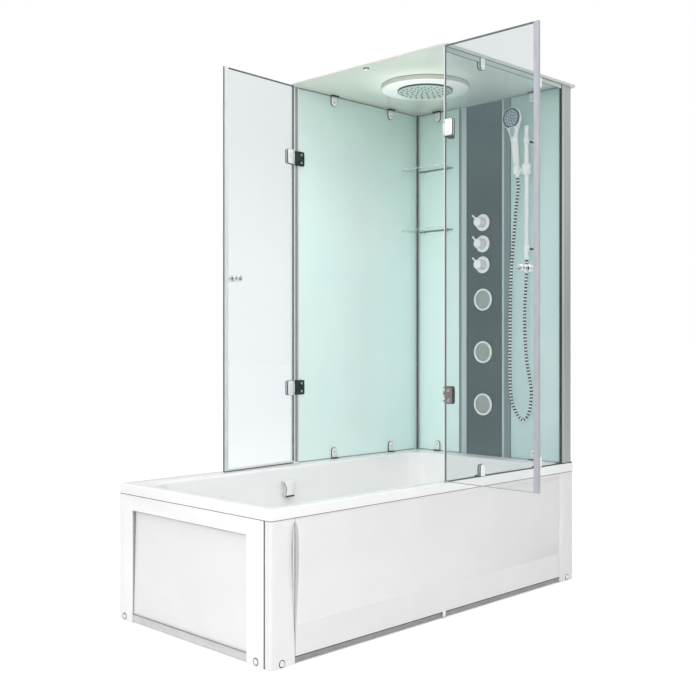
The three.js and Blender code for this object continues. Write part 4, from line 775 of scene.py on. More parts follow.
def end_apron():
    """Legs and top band in one plate; the field leans and swells by pillow * sin(pi u) * sin(pi v)."""
    low, high = box("end_panel_left")
    y0, y1, top = low[1] + seam_half, high[1], high[2]
    f0, f1 = y0 + field_legs[0], y1 - field_legs[1]
    left, wall = low[0], apron_thickness
    frame_outline = [
        (y0, 0), (f0, 0), (f0, field_top), (f1, field_top), (f1, 0), (y1, 0), (y1, top), (y0, top)
    ]
    across, up = np.meshgrid(np.linspace(0, 1, 31), np.linspace(0, 1, 31), indexing="ij")
    swell = field_pillow * np.sin(np.pi * across) * np.sin(np.pi * up)
    x = left + field_depth[0] + (field_depth[1] - field_depth[0]) * up - swell
    y = f0 - wall / 3 + (f1 - f0 + wall * 2 / 3) * across
    z = field_bottom + (field_top + wall / 3 - field_bottom) * up
    face = np.stack([x, y, z], -1)
    back = face[:, ::-1] + array(wall, 0, 0)
    cheek = [
        (left + 0.001, field_bottom), (left + field_depth[0] + wall, field_bottom),
        (left + field_depth[1] + wall, field_top + wall), (left + 0.001, field_top + wall),
    ]
    # The field and the rear cheek are painted greyer than the frame, and the grey lines along the field's
    # top, foot and rear edge are painted shade in the recess
    return [
        plate(frame_outline, left, left + wall, "x", 0.0007),
        grid(np.concatenate([face, back], axis=1), caps=True, finish=3),
        plate(cheek, f0 - wall, f0 - 0.0001, "y", small),
        plate(cheek, f1 + 0.0001, f1 + wall, "y", small, 1, 1),
        box_shape(
            (left + 0.001, f0 - wall, field_top), (left + field_depth[1] + wall, f1 + wall, field_top + wall)
        ),
        box_shape((left + 0.008, f0, field_top - 0.004), (left + 0.022, f1, field_top), line_bevel, 2),
        box_shape((left + 0.002, f0, field_bottom - 0.002), (left + 0.01, f1, field_bottom), line_bevel, 2),
        box_shape(
            (left + 0.006, f1 - 0.002, field_bottom), (left + 0.02, f1 + 0.0005, field_top), line_bevel, 2
        ),
    ]


finishes = [acrylic, apron_acrylic, joint_and_shade_grey, pale_acrylic_painted_shade]
piece("end_panel_left_smooth", end_apron(), finishes, "end_panel_left")

# Dark lines, painted shade in the gaps: up the corner's seam, under the rim's lip at the front and at the
# end, behind the hollows, and along the foot of the front panel
lip_low = rim_height - rim_lip
seam_x, hollow_rear = 0.7477, -0.4048
panel_half, rim_rear = 0.747, 0.418
left_face, right_face = cover_left[0][0], cover_right[1][0]
seam_middle = (cover_left[1][1] + box("end_panel_left")[0][1]) / 2
plinth_front = box("support_frame")[0][1]
panel_foot = box("front_panel")[0][2]
under_lip = (left_face + 0.0015, apron_front + 0.0015, apron_top)
dark_lines = [
    box_shape(
        (left_face + 0.0012, seam_middle - 0.003, 0.001),
        (left_face + 0.0055, seam_middle + 0.003, apron_top), line_bevel,
    ),
    box_shape(under_lip, (right_face - 0.0015, apron_front + 0.006, lip_low + 0.0004), line_bevel),
    box_shape(under_lip, (left_face + 0.006, rim_rear, lip_low + 0.0004), line_bevel),
    *(
        box_shape(
            (side * seam_x - 0.0012, apron_front + scoop[1] + 0.0005, 0.001),
            (side * seam_x + 0.0012, hollow_rear, apron_top), line_bevel,
        )
        for side in (-1, 1)
    ),
    box_shape(
        (-panel_half, apron_front + 0.005, panel_foot - 0.0045),
        (panel_half, plinth_front + 0.0005, panel_foot - 0.0004), line_bevel,
    ),
]
piece("apron_seams", dark_lines, black_rubber_and_shade, body="unit", slot="seal")

# Dome screws of the aprons, each on a dark ring that paints the shadow round its head, and the clip in the
# middle of the front
screw_radius, screw_height = 0.0105, 0.006
screw = [
    (0, screw_height), (screw_radius * 0.55, screw_height * 0.86), (screw_radius * 0.9, screw_height * 0.45),
    (screw_radius, 0), (0, 0),
]
flat = [(radius, place / 3) for radius, place in screw]  # the end's heads stay within the rim's reach
collar_radius, shadow_ring_height = screw_radius + 0.002, 0.0006
front_places = [(x, apron_front, 0.014) for x in (-0.802, 0.802)]
end_face = box("end_panel_left")[0][0]
end_places = [(end_face, y, 0.0155) for y in (-0.349, 0.388)]
heads = [turned(screw, place, (0, -1, 0), soft=0.002) for place in front_places]
heads += [turned(flat, place, (-1, 0, 0), soft=0.001) for place in end_places]
heads += [rod(collar_radius, shadow_ring_height, 0, place, (0, -1, 0), finish=1) for place in front_places]
heads += [rod(collar_radius, shadow_ring_height, 0, place, (-1, 0, 0), finish=1) for place in end_places]
piece("apron_screws", heads, [chrome, dark_steel_shade], body="unit", slot="chrome")
clip_x, clip_half, clip_low, clip_high = -0.015, 0.009, 0.006, 0.03
clip = plate(
    rectangle(clip_x - clip_half, clip_x + clip_half, clip_low, clip_high, 0.003),
    apron_front - 0.0015, apron_front, "y", small,
)
piece("apron_clip", clip, chrome, body="unit", slot="chrome")

# Carried-over solids with their finishes
kept = {
    "support_frame": coated_steel, "bath_waste": waste_pp, "post_rear_corner": black_glass,
    "column_face": slate_glass, "column_housing": column_strip, "left_door_seal": seal_pvc,
    "right_door_seal": seal_pvc,
}
for node, finish in kept.items():
    data = frame["nodes"][node].data
    data.materials.clear()
    data.materials.append(finish)
    data.polygons.foreach_set("material_index", np.zeros(len(data.polygons), int))
    if node == "support_frame":  # the plinth's left end is painted lighter, as the light falls on it
        data.materials.append(lit_plinth_coat)
        for face in data.polygons:
            face.material_index = int(face.normal.x < -0.7 and face.center.x < -0.8)

# Overflow knob and drain plug
just_inside = 0.999  # of their solids' radii
knob_low, knob_high = box("overflow_knob")
knob_at = array(knob_low[0], *(knob_low[1:] + knob_high[1:]) / 2)
knob_radius = (knob_high[1] - knob_low[1]) / 2 * just_inside
knob_deep = knob_high[0] - knob_low[0]
knob_profile = [
    (0, knob_deep * 0.82), (knob_radius * 0.62, knob_deep * 0.86), (knob_radius * 0.8, knob_deep),
    (knob_radius * 0.95, knob_deep * 0.8), (knob_radius, knob_deep * 0.3), (knob_radius * 0.94, 0), (0, 0),
]
piece("overflow_knob_turned", turned(knob_profile, knob_at, (1, 0, 0), soft=0.003), chrome, "overflow_knob")
plug_low, plug_high = box("drain_plug")
plug_at = array(*(plug_low[:2] + plug_high[:2]) / 2, plug_high[2])
plug_radius, plug_stem = (plug_high[0] - plug_low[0]) / 2 * just_inside, 0.006
plug_profile = [
    (0, 0), (plug_radius * 0.6, -0.0008), (plug_radius * 0.93, -0.0026), (plug_radius, -0.004),
    (plug_stem, -0.0044), (plug_stem, plug_low[2] - plug_high[2]), (0, plug_low[2] - plug_high[2]),
]
piece("drain_plug_turned", turned(plug_profile, plug_at, soft=0.0015), chrome, "drain_plug")

# Drain flange round the plug
flange = [(0.0185, 0.0), (0.034, 0.0), (0.0335, 0.0012), (0.031, 0.0022), (0.02, 0.0026), (0.0185, 0.0024)]
flange = turned(flange, (*plug_at[:2], floor_height + fit), soft=0.0006, loop=True)
piece("drain_flange", flange, chrome, body="unit", slot="chrome")


# Spout

def spout():
    """An hourglass plate on the basin's rear wall, in rounded rectangles: a straight taper from foot to top,
    pinched at mid height by sin(pi s) ** 2, and a little shallower towards the top."""
    low, high = box("bath_spout")
    middle = (low[0] + high[0]) / 2
    half = (high[0] - low[0]) / 2
    foot_half, waist_half = half * 0.84, half * 0.6
    rings = []
    for s in np.concatenate([[0, 0.01], np.linspace(0.03, 0.97, 26), [0.99, 1]]):
        pinch = np.sin(np.pi * s) ** 2
        depth = (high[1] - low[1]) * (1 - 0.15 * s * s)
        drawn = 0.0012 * ((s in (0, 1)) + 0.3 * (s in (0.01, 0.99)))
        wide = (foot_half + (half - foot_half) * s) * (1 - pinch) + waist_half * pinch - drawn
        ring = rectangle(middle - wide, middle + wide, high[1] - depth + drawn, high[1], (0.002, 0.002, 0, 0))
        rings.append(placed(ring, low[2] + (high[2] - low[2]) * s, "z"))
    # The mouth is painted black: painted shade inside the outlet
    mouth = plate(
        rectangle(middle - foot_half + 0.001, middle + foot_half - 0.001, low[1] - 0.0002, high[1] - 0.006),
        low[2] - 0.0002, low[2] + 0.0065, "z", 0.0003, 1, 1,
    )
    points, faces, finishes = grid(np.stack(rings), caps=True)
    sides = np.array(finishes[:-2]).reshape(len(rings) - 1, -1)
    sides[:, [13, 15]] = 3  # its two sides, painted darker in shade
    sides[:, :4] = 2  # the front left edge, painted in deep shade
    return [(points, faces, [*sides.ravel().tolist(), 0, 0]), mouth]


piece("bath_spout_smooth", spout(), [bright_chrome, black_rubber_and_shade, dark_steel_shade, steel_leaf_and_shade], "bath_spout", sharp=30)

# Cabin
glass = 0.006  # thickness of a pane
door_plane = 0.0  # the X of the cabin's open left side
pane_low, pane_high = box("front_fixed_glass")
glass_top = pane_high[2]
rear_inner = box("rear_wall_glass")[0][1]
side_inner = box("side_wall_glass_rear")[0][0]
front_inner = pane_high[1]
arris = 0.0008  # the ground edge of a pane


def slab(low, high, axis, radii=0.0, faces=(0, 1), bevel=arris):
    """A box drawn as a plate along an axis, so that its broad faces and its narrow edges have their own
    finish."""
    w = "xyz".index(axis)
    u, v = [i for i in range(3) if i != w]
    outline = rectangle(low[u], high[u], low[v], high[v], radii)
    return plate(outline, low[w], high[w], axis, bevel, *faces)


for node, axis, finish in (
    ("front_fixed_glass", "y", clear_glass),
    ("rear_wall_glass", "y", mint_glass),
    ("side_wall_glass_rear", "x", mint_glass),
    ("side_wall_glass_front", "x", mint_shaded),
):
    made = piece(node + "_pane", slab(*box(node), axis), [finish, glass_edge], node)
    made.visible_shadow = finish is not clear_glass  # clear glass shades nothing

# Glass shelves, each on two pins in the side wall
shelf_corner, pin_radius, pin_length = 0.03, 0.005, 0.012
for node in ("shelf_lower", "shelf_upper"):
    low, high = box(node)
    points, faces, finishes = slab(low, high, "z", (shelf_corner, 0.001, 0.001, 0.001))
    # Its edge at the side wall looks dark, its free edges catch the light
    away = [points[list(face), 0].mean() < high[0] - 0.003 for face in faces]
    finishes = [3 if free and finish == 1 else finish for free, finish in zip(away, finishes)]
    panel = points, faces, finishes
    pins = [
        rod(pin_radius, 0, pin_length, (high[0], y, low[2] - pin_radius - 0.0005), (-1, 0, 0), finish=2)
        for y in (low[1] + 0.03, high[1] - 0.05)
    ]
    piece(node + "_glass", [panel, *pins], [clear_glass, glass_edge, chrome, lit_edge], node)

# Lines where the panes stand on the rim: black at the front, grey along the walls
foot = box("post_front_right")[0][2]
panes = ("front_fixed_glass", "rear_wall_glass", "side_wall_glass_rear", "side_wall_glass_front")
lines = [
    box_shape((low[0], low[1], foot), (high[0], high[1], low[2] + 0.001), thin, int(k > 0))
    for k, (low, high) in enumerate(map(box, panes))
]
low, high = box("post_front_right")
lines.append(box_shape((low[0], low[1] - 0.0003, foot), (high[0] + 0.0003, high[1], low[2] + 0.003), thin))
piece("glazing_lines", lines, [black_rubber_and_shade, joint_and_shade_grey], body="unit", slot="seal")

# Pale margins of the rear corner post
low, high = box("post_rear_corner")
bare = 0.0075  # how wide each dark face stays
margins = [
    box_shape((low[0] - 0.0004, low[1] + bare, low[2]), (low[0] + 0.0001, rear_inner, high[2]), hairline),
    box_shape((low[0] + bare, low[1] - 0.0004, low[2]), (side_inner, low[1] + 0.0001, high[2]), hairline),
]
piece("corner_post_margins", margins, column_trim, body="unit", slot="seal")

# Rear jamb, front post with its gasket
low, high = box("post_rear_left")
jamb_steps = array(0, 0.02, 0.029, 0.036, 0.04)
jamb = [
    box_shape((low[0] + a + 0.0001, low[1], low[2]), (low[0] + b - 0.0001, high[1], high[2]), small, k)
    for a, b, k in zip(jamb_steps, jamb_steps[1:], (2, 1, 0, 2))
]
piece("rear_jamb", jamb, [anodised, joint_and_shade_grey, white_abs], "post_rear_left")

low, high = box("post_front_right")
post_bevel, post_step, post_fold, post_wall = 0.015, 0.02, 0.006, 0.005
post_inner, post_inner_fold = 0.8028, 0.013
post_section = [
    (low[0], low[1] + post_fold), (low[0] + post_bevel, low[1]), (high[0] - post_step, low[1]),
    (high[0] - post_step, low[1] + post_fold), (high[0] - post_wall / 2, low[1] + post_fold),
    (high[0], low[1] + post_fold + post_wall / 2), (high[0], high[1]),
    (post_inner, high[1]), (low[0], low[1] + post_inner_fold),
]
gasket_width, gasket_proud = 0.003, 0.0022
post_gasket = box_shape(
    (low[0] - gasket_width, pane_low[1] - gasket_proud, low[2]),
    (low[0], front_inner + gasket_proud, glass_top), 0.0008, 1,
)
post = plate(soften(post_section, 0.0012, closed=True), low[2], high[2], "z", small)
piece("front_post", [post, post_gasket], [anodised, black_rubber_and_shade], "post_front_right")

# Clamps
clamp_width, clamp_height, clamp_thickness, clamp_base = 0.03, 0.048, 0.005, 0.018
top_wider = 0.003  # how much wider than the bottom clamps the top ones are, on either side
cap_thickness = 0.004


def tab_outline(place, foot_z, sign, radius):
    """Where a clamp lies on the glass: its foot at foot_z, its round end above that, or below it if sign
    is -1."""
    angle = np.linspace(0, np.pi, 17)
    rise = clamp_height - radius * (1 - np.sin(angle))
    arc = np.stack([place + radius * np.cos(angle), foot_z + sign * rise], -1)
    return np.vstack([arc, [(place - radius, foot_z)], [(place + radius, foot_z)]])


def clamp(place, face, inward, axis, top=False):
    """A tab with a round end against the glass and a base on the rim or under the roof, with a dome screw.
    The tab's edge and the base take finish 2, painted dark as shade.
    """
    foot_z, sign = (glass_top + 0.0003, -1) if top else (foot, 1)
    radius = clamp_width / 2 + (top_wider if top else 0)

    def at(along, across, z):
        """A place given along and across the pane."""
        return (along, across, z) if axis == "y" else (across, along, z)

    near, far = sorted((face, face + inward * clamp_thickness))
    tab = plate(tab_outline(place, foot_z, sign, radius), near, far, axis, 0.0014, 0, 2)
    near, far = sorted((face, face + inward * clamp_base))
    z0, z1 = sorted((foot_z, foot_z + sign * clamp_thickness))
    wide = radius + (0.001 if top else 0)
    base = box_shape(at(place - wide, near, z0), at(place + wide, far, z1), 0.0014, 2)
    head_at = at(place, face + inward * clamp_thickness, foot_z + sign * clamp_height * 0.62)
    head = [(0, 0.0022), (0.004, 0.0016), (0.0052, 0), (0, 0)]
    return [tab, base, turned(head, head_at, at(0, inward, 0), 20, 0.0008, finish=1)]


def outer_cap(place, foot_z, sign, face, edge):
    """A clamp's other half on the outside of the front glass. Its edge takes the edge finish, which paints it
    dark as shade.
    """
    outline = tab_outline(place, foot_z, sign, clamp_width / 2)
    far = pane_low[1] - 0.0002
    return plate(outline, far - cap_thickness, far, "y", 0.0012, face, edge)


roof_low, roof_high = box("roof")
roof_thickness = 0.008
pane_sides = {
    "rear": ("y", rear_inner - fit, -1),
    "front": ("y", front_inner + fit, 1),
    "side": ("x", side_inner - fit, -1),
}
top_clamps = []
for side, (axis, face, inward) in pane_sides.items():
    at_front = side == "front"
    for i in (1, 2):
        node = f"glass_clamp_{side}_{i}"
        low, high = box(node)
        place = (low + high)[0 if axis == "y" else 1] / 2
        shapes = clamp(place, face, inward, axis)
        if at_front:
            shapes.append(outer_cap(place, foot + 0.0004, 1, 0, 2))
            top_clamps.append(outer_cap(place, glass_top - 0.0004, -1, 6, 4))
        finishes = [lit_cap if at_front else bright_chrome, steel_leaf_and_shade, dark_steel_shade]
        piece(node + "_chrome", shapes, finishes, node)
        # On the roof piece chrome, screw and edge are finishes 2 to 4, and the front's white faces are 6
        top_clamps += [
            (points, faces, [6 if at_front and k == 0 else 2 + k for k in finishes])
            for points, faces, finishes in clamp(place, face, inward, axis, top=True)
        ]

# Roof with the top clamps and the door stop under it
roof_under = roof_high[2] - roof_thickness
stop_place = (door_plane + 0.0136, 0, roof_under)
stop_plate = [(0, -0.0017), (0.011, -0.0017), (0.012, -0.001), (0.012, 0.001), (0, 0.001)]
stop_pad = [(0, -0.0125), (0.0065, -0.0125), (0.0072, -0.0115), (0.0072, -0.002), (0, -0.002)]
# The door stop's plate is painted dark: painted shade round its pad
roof = [
    slab((*roof_low[:2], roof_under), roof_high, "z", 0.02, (0, 5), 0.0012),
    *top_clamps,
    turned(stop_plate, stop_place, finish=4),
    turned(stop_pad, stop_place, finish=2),
]
roof_finishes = [ceiling, glass_edge, bright_chrome, steel_leaf_and_shade, dark_steel_shade, shaded_white_edge, lit_cap]
piece("roof_slab", roof, roof_finishes, "roof")

# Header over the front glass with its dark lines, and the light strip on the glass's free edge
header_low = glass_top - 0.019
line_height = 0.0022


def header_strip(low_z, high_z, proud, bevel, finish):
    """A strip across the outside of the front glass between two heights."""
    low = (pane_low[0] + 0.001, pane_low[1] - proud, low_z)
    return box_shape(low, (pane_high[0], pane_low[1] - 0.0001, high_z), bevel, finish)


header = [
    header_strip(header_low, glass_top, 0.0012, 0.0008, 0),
    header_strip(header_low - line_height, header_low, 0.0014, fine, 1),
    header_strip(glass_top - 0.0025, glass_top, 0.0014, fine, 1),
    box_shape(
        (pane_low[0] - 0.0006, pane_low[1] - 0.0004, foot),
        (pane_low[0] + 0.0004, pane_high[1] + 0.0002, glass_top), fine, 2,
    ),
]
piece("front_header", header, [column_trim, smoked_trim, seal_pvc], body="unit", slot="seal")

# Painted shade: grey bands in the corners where the rear and the side glass meet the roof
joint_low, near, far = glass_top - 0.005, 0.00025, 0.00005
joint = [
    box_shape((0.031, rear_inner - near, joint_low), (0.787, rear_inner - far, glass_top), 0.00005),
    box_shape((side_inner - near, -0.381, joint_low), (side_inner - far, 0.399, glass_top), 0.00005),
]
piece("roof_joints", joint, joint_and_shade_grey, body="unit", slot="seal")

# Door hinges
axis_x = -0.006
rear_axis_y, front_axis_y = joints["left_door_hinge"]["pos_m"][1], joints["right_door_hinge"]["pos_m"][1]
barrel, knuckle, hinge_pin = 0.006, 0.035, 0.0024  # a barrel's radius and height, its pin's radius
neck_start = 0.0025
leaf_height, leaf_length, leaf_thickness, leaf_corner = 0.062, 0.048, 0.0047, 0.008
leaf_start, leaf_inner_start = 0.007, 0.0125
bolt_along, bolt_spacing, bolt_head = 0.03, 0.034, 0.005
socket_radius, socket_floor = 0.0022, 0.0008
door_offset = 0.006  # from the hinge's axis to the middle of the door's glass
hinge_places = {name: middle_height(f"left_door_hinge_{name}") for name in ("lower", "upper")}


def leaf(start, end, z, near, far):
    """A hinge's leaf: a plate along the door with round corners at its free end. Its edges take finish 3,
    which paints them dark as shade.
    """
    corners = (0, leaf_corner, leaf_corner, 0)
    outline = rectangle(start, end, z - leaf_height / 2, z + leaf_height / 2, corners)
    return plate(outline, near, far, "y", 0.0009, 2, 3)


def cylinder(radius, low, high, x, y):
    """An upright pin or knuckle."""
    return rod(radius, low, high, (x, y, 0), sides=32, soft=0.0008)


def screws(x, y, z, way):
    """Two dome heads, each with a socket painted dark as shade, above and below the leaf's middle."""
    head = [
        (0.0024, socket_floor), (0.0024, 0.0026), (0.0044, 0.0024), (bolt_head, 0.0008), (bolt_head, 0),
        (0, 0), (0, socket_floor),
    ]
    shapes = []
    for dz in (-bolt_spacing / 2, bolt_spacing / 2):
        place = (x, y, z + dz)
        shapes.append(turned(head, place, (0, way, 0), 28, 0.0004, finish=0))
        shapes.append(rod(socket_radius, socket_floor, 0.0012, place, (0, way, 0), 12, 0.0001, finish=1))
    return shapes


def fixed_knuckles(y, z):
    """The pin with the upper and the lower knuckle, which carry the fixed leaf."""
    top, gap = leaf_height / 2, knuckle / 2 + fit
    return [
        cylinder(hinge_pin, z - top + 0.001, z + top - 0.001, axis_x, y),
        cylinder(barrel, z + gap, z + top, axis_x, y),
        cylinder(barrel, z - top, z - gap, axis_x, y),
    ]


def necks(x0, x1, y0, y1, z):
    """What joins the two fixed knuckles to the leaf."""
    top, gap = leaf_height / 2, knuckle / 2 + fit
    return [box_shape((x0, y0, z + a), (x1, y1, z + b), small) for a, b in ((gap, top), (-top, -gap))]


# The fixed leaves: the right door's on both faces of the front glass, the left door's on the rear wall
for name, z in hinge_places.items():
    outside, inside = pane_low[1] - fit, front_inner + fit
    end = axis_x + leaf_length + door_offset
    neck = axis_x + neck_start, axis_x + leaf_start + 0.001
    shapes = [
        *fixed_knuckles(front_axis_y, z),
        *necks(*neck, outside - leaf_thickness, outside, z),
        leaf(axis_x + leaf_start, end, z, outside - leaf_thickness, outside),
        leaf(axis_x + leaf_start + 2 * leaf_thickness, end, z, inside, inside + leaf_thickness),
        *screws(axis_x + bolt_along, outside - leaf_thickness, z, -1),
        *screws(axis_x + bolt_along, inside + leaf_thickness, z, 1),
    ]
    finishes = [chrome, black_rubber_and_shade, dark_steel_shade, dark_steel_shade]
    piece(f"right_bracket_{name}", shapes, finishes, f"right_hinge_bracket_{name}")
    face = rear_inner - fit
    low, high = box(f"left_hinge_bracket_{name}")
    shapes = [
        *fixed_knuckles(rear_axis_y, z),
        *necks(*neck, face - leaf_thickness, rear_axis_y + barrel - 0.001, z),
        leaf(axis_x + leaf_start, high[0], z, face - leaf_thickness, face),
        *screws(high[0] - 0.017, face - leaf_thickness, z, -1),
    ]
    piece(f"left_bracket_{name}", shapes, finishes, f"left_hinge_bracket_{name}")

# Doors, drawn in a frame with its origin on the hinge's axis and X along the door
door_low, door_high = box("right_door_glass")[0][2], box("right_door_glass")[1][2]
knob_radius, knob_length, knob_neck, knob_base, knob_flare = 0.0125, 0.033, 0.007, 0.009, 0.003
knob_inset = 0.055
seal_width, seal_cover, seal_thickness = 0.02, 0.016, 0.01
door_start = 0.01
knob_z = middle_height("right_door_knob")
door_trim = 0.0006  # how far the trims stand proud of the glass
# Each door's width, the side of its frame that its inner face lies on, its angle at rest and its axis's Y
doors = {
    "left": (0.403, 1, -175.6, rear_axis_y),
    "right": (0.416, -1, -90.0, front_axis_y),
}
knob_half = [
    (0, 0), (0.0118, 0), (knob_radius, 0.0012), (knob_radius, 0.0026), (knob_neck, 0.0038),
    (knob_neck, knob_base), (knob_radius, knob_base + knob_flare), (knob_radius, knob_length - 0.0025),
    (knob_radius - 0.0025, knob_length), (0, knob_length),
]
for side, (width, inside, swing, hinge_y) in doors.items():
    turn, origin = about_z(swing), (axis_x, hinge_y, 0)
    left_hand = side == "left"

    def at_door(shapes):
        """Shapes drawn in the door's frame, put where the door stands at rest."""
        return [moved(shape, turn, origin) for shape in shapes]

    def across(a, b):
        """Two distances towards the inner face, as low and high Y in the door's frame."""
        return sorted((inside * a, inside * b))

    # Glass, and the seal on its free edge
    g0, g1 = across(door_offset - glass / 2, door_offset + glass / 2)
    seal_start, end = width - seal_width, width - seal_width + seal_cover - fit
    pane = plate(rectangle(door_start, end, door_low, door_high), g0, g1, "y", arris, 0, 1)
    door_glass = pale_glass if left_hand else door_clear
    made = piece(f"{side}_door_pane", at_door([pane]), [door_glass, glass_edge], f"{side}_door_glass")
    made.visible_shadow = False
    s0, s1 = across(door_offset - seal_thickness / 2, door_offset + seal_thickness / 2)
    edge = [
        box_shape((seal_start, s0, door_low), (width - 0.0002, s1, door_high), 0.0015),
        box_shape(
            (seal_start - 0.0012, g0 - door_trim, door_low), (seal_start, g1 + door_trim, door_high), fine, 1
        ),
        box_shape(
            (width - 0.0005, s0 + 0.001, door_low), (width, s1 - 0.001, door_high), fine, int(left_hand)
        ),
    ]
    seal = pale_seal if left_hand else seal_pvc
    piece(f"{side}_door_edge", at_door(edge), [seal, smoked_trim], f"{side}_door_seal")

    # Trims along the foot, the hinge side and the head
    def trim(proud, low_z, high_z, bevel, finish=0):
        """A strip along the door, proud of the glass on both sides."""
        return box_shape((door_start, g0 - proud, low_z), (width - 0.001, g1 + proud, high_z), bevel, finish)

    if left_hand:
        trims = [
            trim(door_trim, door_low, door_low + 0.007, thin),
            trim(0.0008, door_low - 0.0045, door_low, 0.0008, 1),
        ]
    else:
        reach = leaf_height / 2 + 0.002
        ends = [z + way * reach for z in sorted(hinge_places.values()) for way in (-1, 1)]
        ends = [door_low, *ends, door_high]
        strip_end, strip_face = door_start - 0.004, g1 - 0.0022
        trims = [
            trim(0.0, door_low - 0.002, door_low + 0.0002, thin),
            *(
                box_shape((0.0015, strip_face, a), (strip_end, g1, b), thin, 2)
                for a, b in zip(ends[::2], ends[1::2])
            ),
            box_shape((strip_end, strip_face, door_low), (door_start, g1, door_high), thin, 1),
        ]
    start = door_start - (0.004 if left_hand else 0.0)
    trims += [
        box_shape((start, g0, door_low), (door_start + 0.002, g1, door_high), thin, 1),
        trim(door_trim, door_high - 0.005, door_high, thin, 1),
    ]
    finishes = [seal, smoked_trim, pale_seal]
    piece(f"{side}_door_sweep", at_door(trims), finishes, body=f"{side}_door", slot="seal")

    # A knob on either face, and the hinges' moving leaves
    near, far = door_offset - glass / 2 - fit, door_offset + glass / 2 + fit
    knobs = [
        turned(knob_half, (width - knob_inset, inside * y, knob_z), (0, inside * way, 0), 48, 0.0012)
        for y, way in ((near, -1), (far, 1))
    ]
    piece(f"{side}_door_knob_turned", at_door(knobs), chrome, f"{side}_door_knob")
    o0, o1 = across(near - leaf_thickness, near)
    i0, i1 = across(far, far + leaf_thickness)
    for name, z in hinge_places.items():
        shapes = [
            cylinder(barrel, z - knuckle / 2, z + knuckle / 2, 0, 0),
            box_shape((neck_start, o0, z - knuckle / 2), (leaf_start + 0.001, o1, z + knuckle / 2), small),
            leaf(leaf_start, leaf_length, z, o0, o1),
            leaf(leaf_inner_start, leaf_length, z, i0, i1),
            *screws(bolt_along, (o0 if inside > 0 else o1), z, -inside),
            *screws(bolt_along, (i1 if inside > 0 else i0), z, inside),
        ]
        finishes = [bright_chrome, steel_leaf_and_shade, bright_chrome, black_rubber_and_shade]
        if (side, name) == ("right", "lower"):
            finishes = [chrome, black_rubber_and_shade, brown_reflection_steel, black_rubber_and_shade]
        piece(f"{side}_hinge_{name}", at_door(shapes), finishes, f"{side}_door_hinge_{name}")

# Rain shower
low, high = box("rain_shower_ring")
rain_x, rain_y = ((low + high) / 2)[:2]
rain_radius = (high[0] - low[0]) / 2
ring_drop = low[2] - high[2]
ring_sides = 128
ring = [
    (0, ring_drop), (rain_radius - 0.002, ring_drop), (rain_radius, ring_drop + 0.002),
    (rain_radius, -0.001), (rain_radius - 0.001, 0), (0, 0),
]
ring = turned(ring, (rain_x, rain_y, high[2]), sides=ring_sides, soft=0.0015)
ring[2][ring_sides * 6:ring_sides * 11] = [2] * ring_sides * 5  # its side, painted grey as shade
# A grey line round its top: painted shade in the gap under the ceiling
ring_line = hoop(
    rain_radius - 0.002, rain_radius + 0.0003, -0.0022, -0.0002, (rain_x, rain_y, high[2]),
    sides=ring_sides, soft=0.0001, finish=1,
)
piece("rain_ring", [ring, ring_line], [white_abs, joint_and_shade_grey, shaded_white_edge], "rain_shower_ring")
low, high = box("rain_shower_plate")
plate_radius = (high[0] - low[0]) / 2
drop = low[2] - high[2]
disc = [(0, drop), (plate_radius - 0.006, drop), (plate_radius, drop + 0.005), (plate_radius, 0), (0, 0)]
disc = turned(disc, (rain_x, rain_y, high[2]), sides=ring_sides, soft=0.003)
rim_line = hoop(
    plate_radius - 0.004, plate_radius + 0.0004, drop + 0.0032, -0.0002, (rain_x, rain_y, high[2]),
    sides=ring_sides, soft=0.0001, finish=1,
)


def rings_of(radii, counts):
    """Places round a centre: each ring's are spread evenly, and every second ring is turned by half a
    step."""
    places = []
    for k, (radius, count) in enumerate(zip(radii, counts)):
        angle = 2 * np.pi * (np.arange(count) + 0.5 * (k % 2)) / count
        places.append(radius * np.stack([np.cos(angle), np.sin(angle)], -1))
    return np.vstack(places)


spread = rings_of((0.012, 0.034, 0.056, 0.078, 0.1), (3, 8, 13, 18, 23))
nozzle = [(0, 0.0), (0.0034, 0.0), (0.0042, 0.0022), (0, 0.0022)]
nozzle = turned(nozzle, (0, 0, 0), sides=12, soft=0.0003, finish=1)
nozzles = copies(nozzle, placed(spread + (rain_x, rain_y), low[2] - 0.0018, "z"))
piece("rain_plate", [disc, rim_line, nozzles], [rain_pad, nozzle_tip], "rain_shower_plate")

# Column's thin dark joints
low, high = box("column_housing")
face_low, face_high = box("column_face")
seams = [face_low[1], face_high[1], low[1] + 0.0012, high[1] - 0.0012]
joint_half, trim_fold = 0.0009, 0.0012
column_front, column_foot, column_head = low[0], low[2], high[2]


def upright(start, end, sunk, finish=0):
    """A thin strip up the column's front, sunk a little into it."""
    outer = (column_front - 0.0003, start, column_foot)
    return box_shape(outer, (column_front + sunk, end, column_head), hairline, finish)


joint_lines = [upright(y - joint_half, y + joint_half, 0.0004) for y in seams]
trims = [
    upright(face_low[1] - 0.012, face_low[1] - trim_fold, 0.0002, 1),
    upright(face_high[1] + trim_fold, face_high[1] + 0.03, 0.0002, 1),
]
piece("column_joints", joint_lines + trims, [black_rubber_and_shade, column_trim], body="unit", slot="seal")

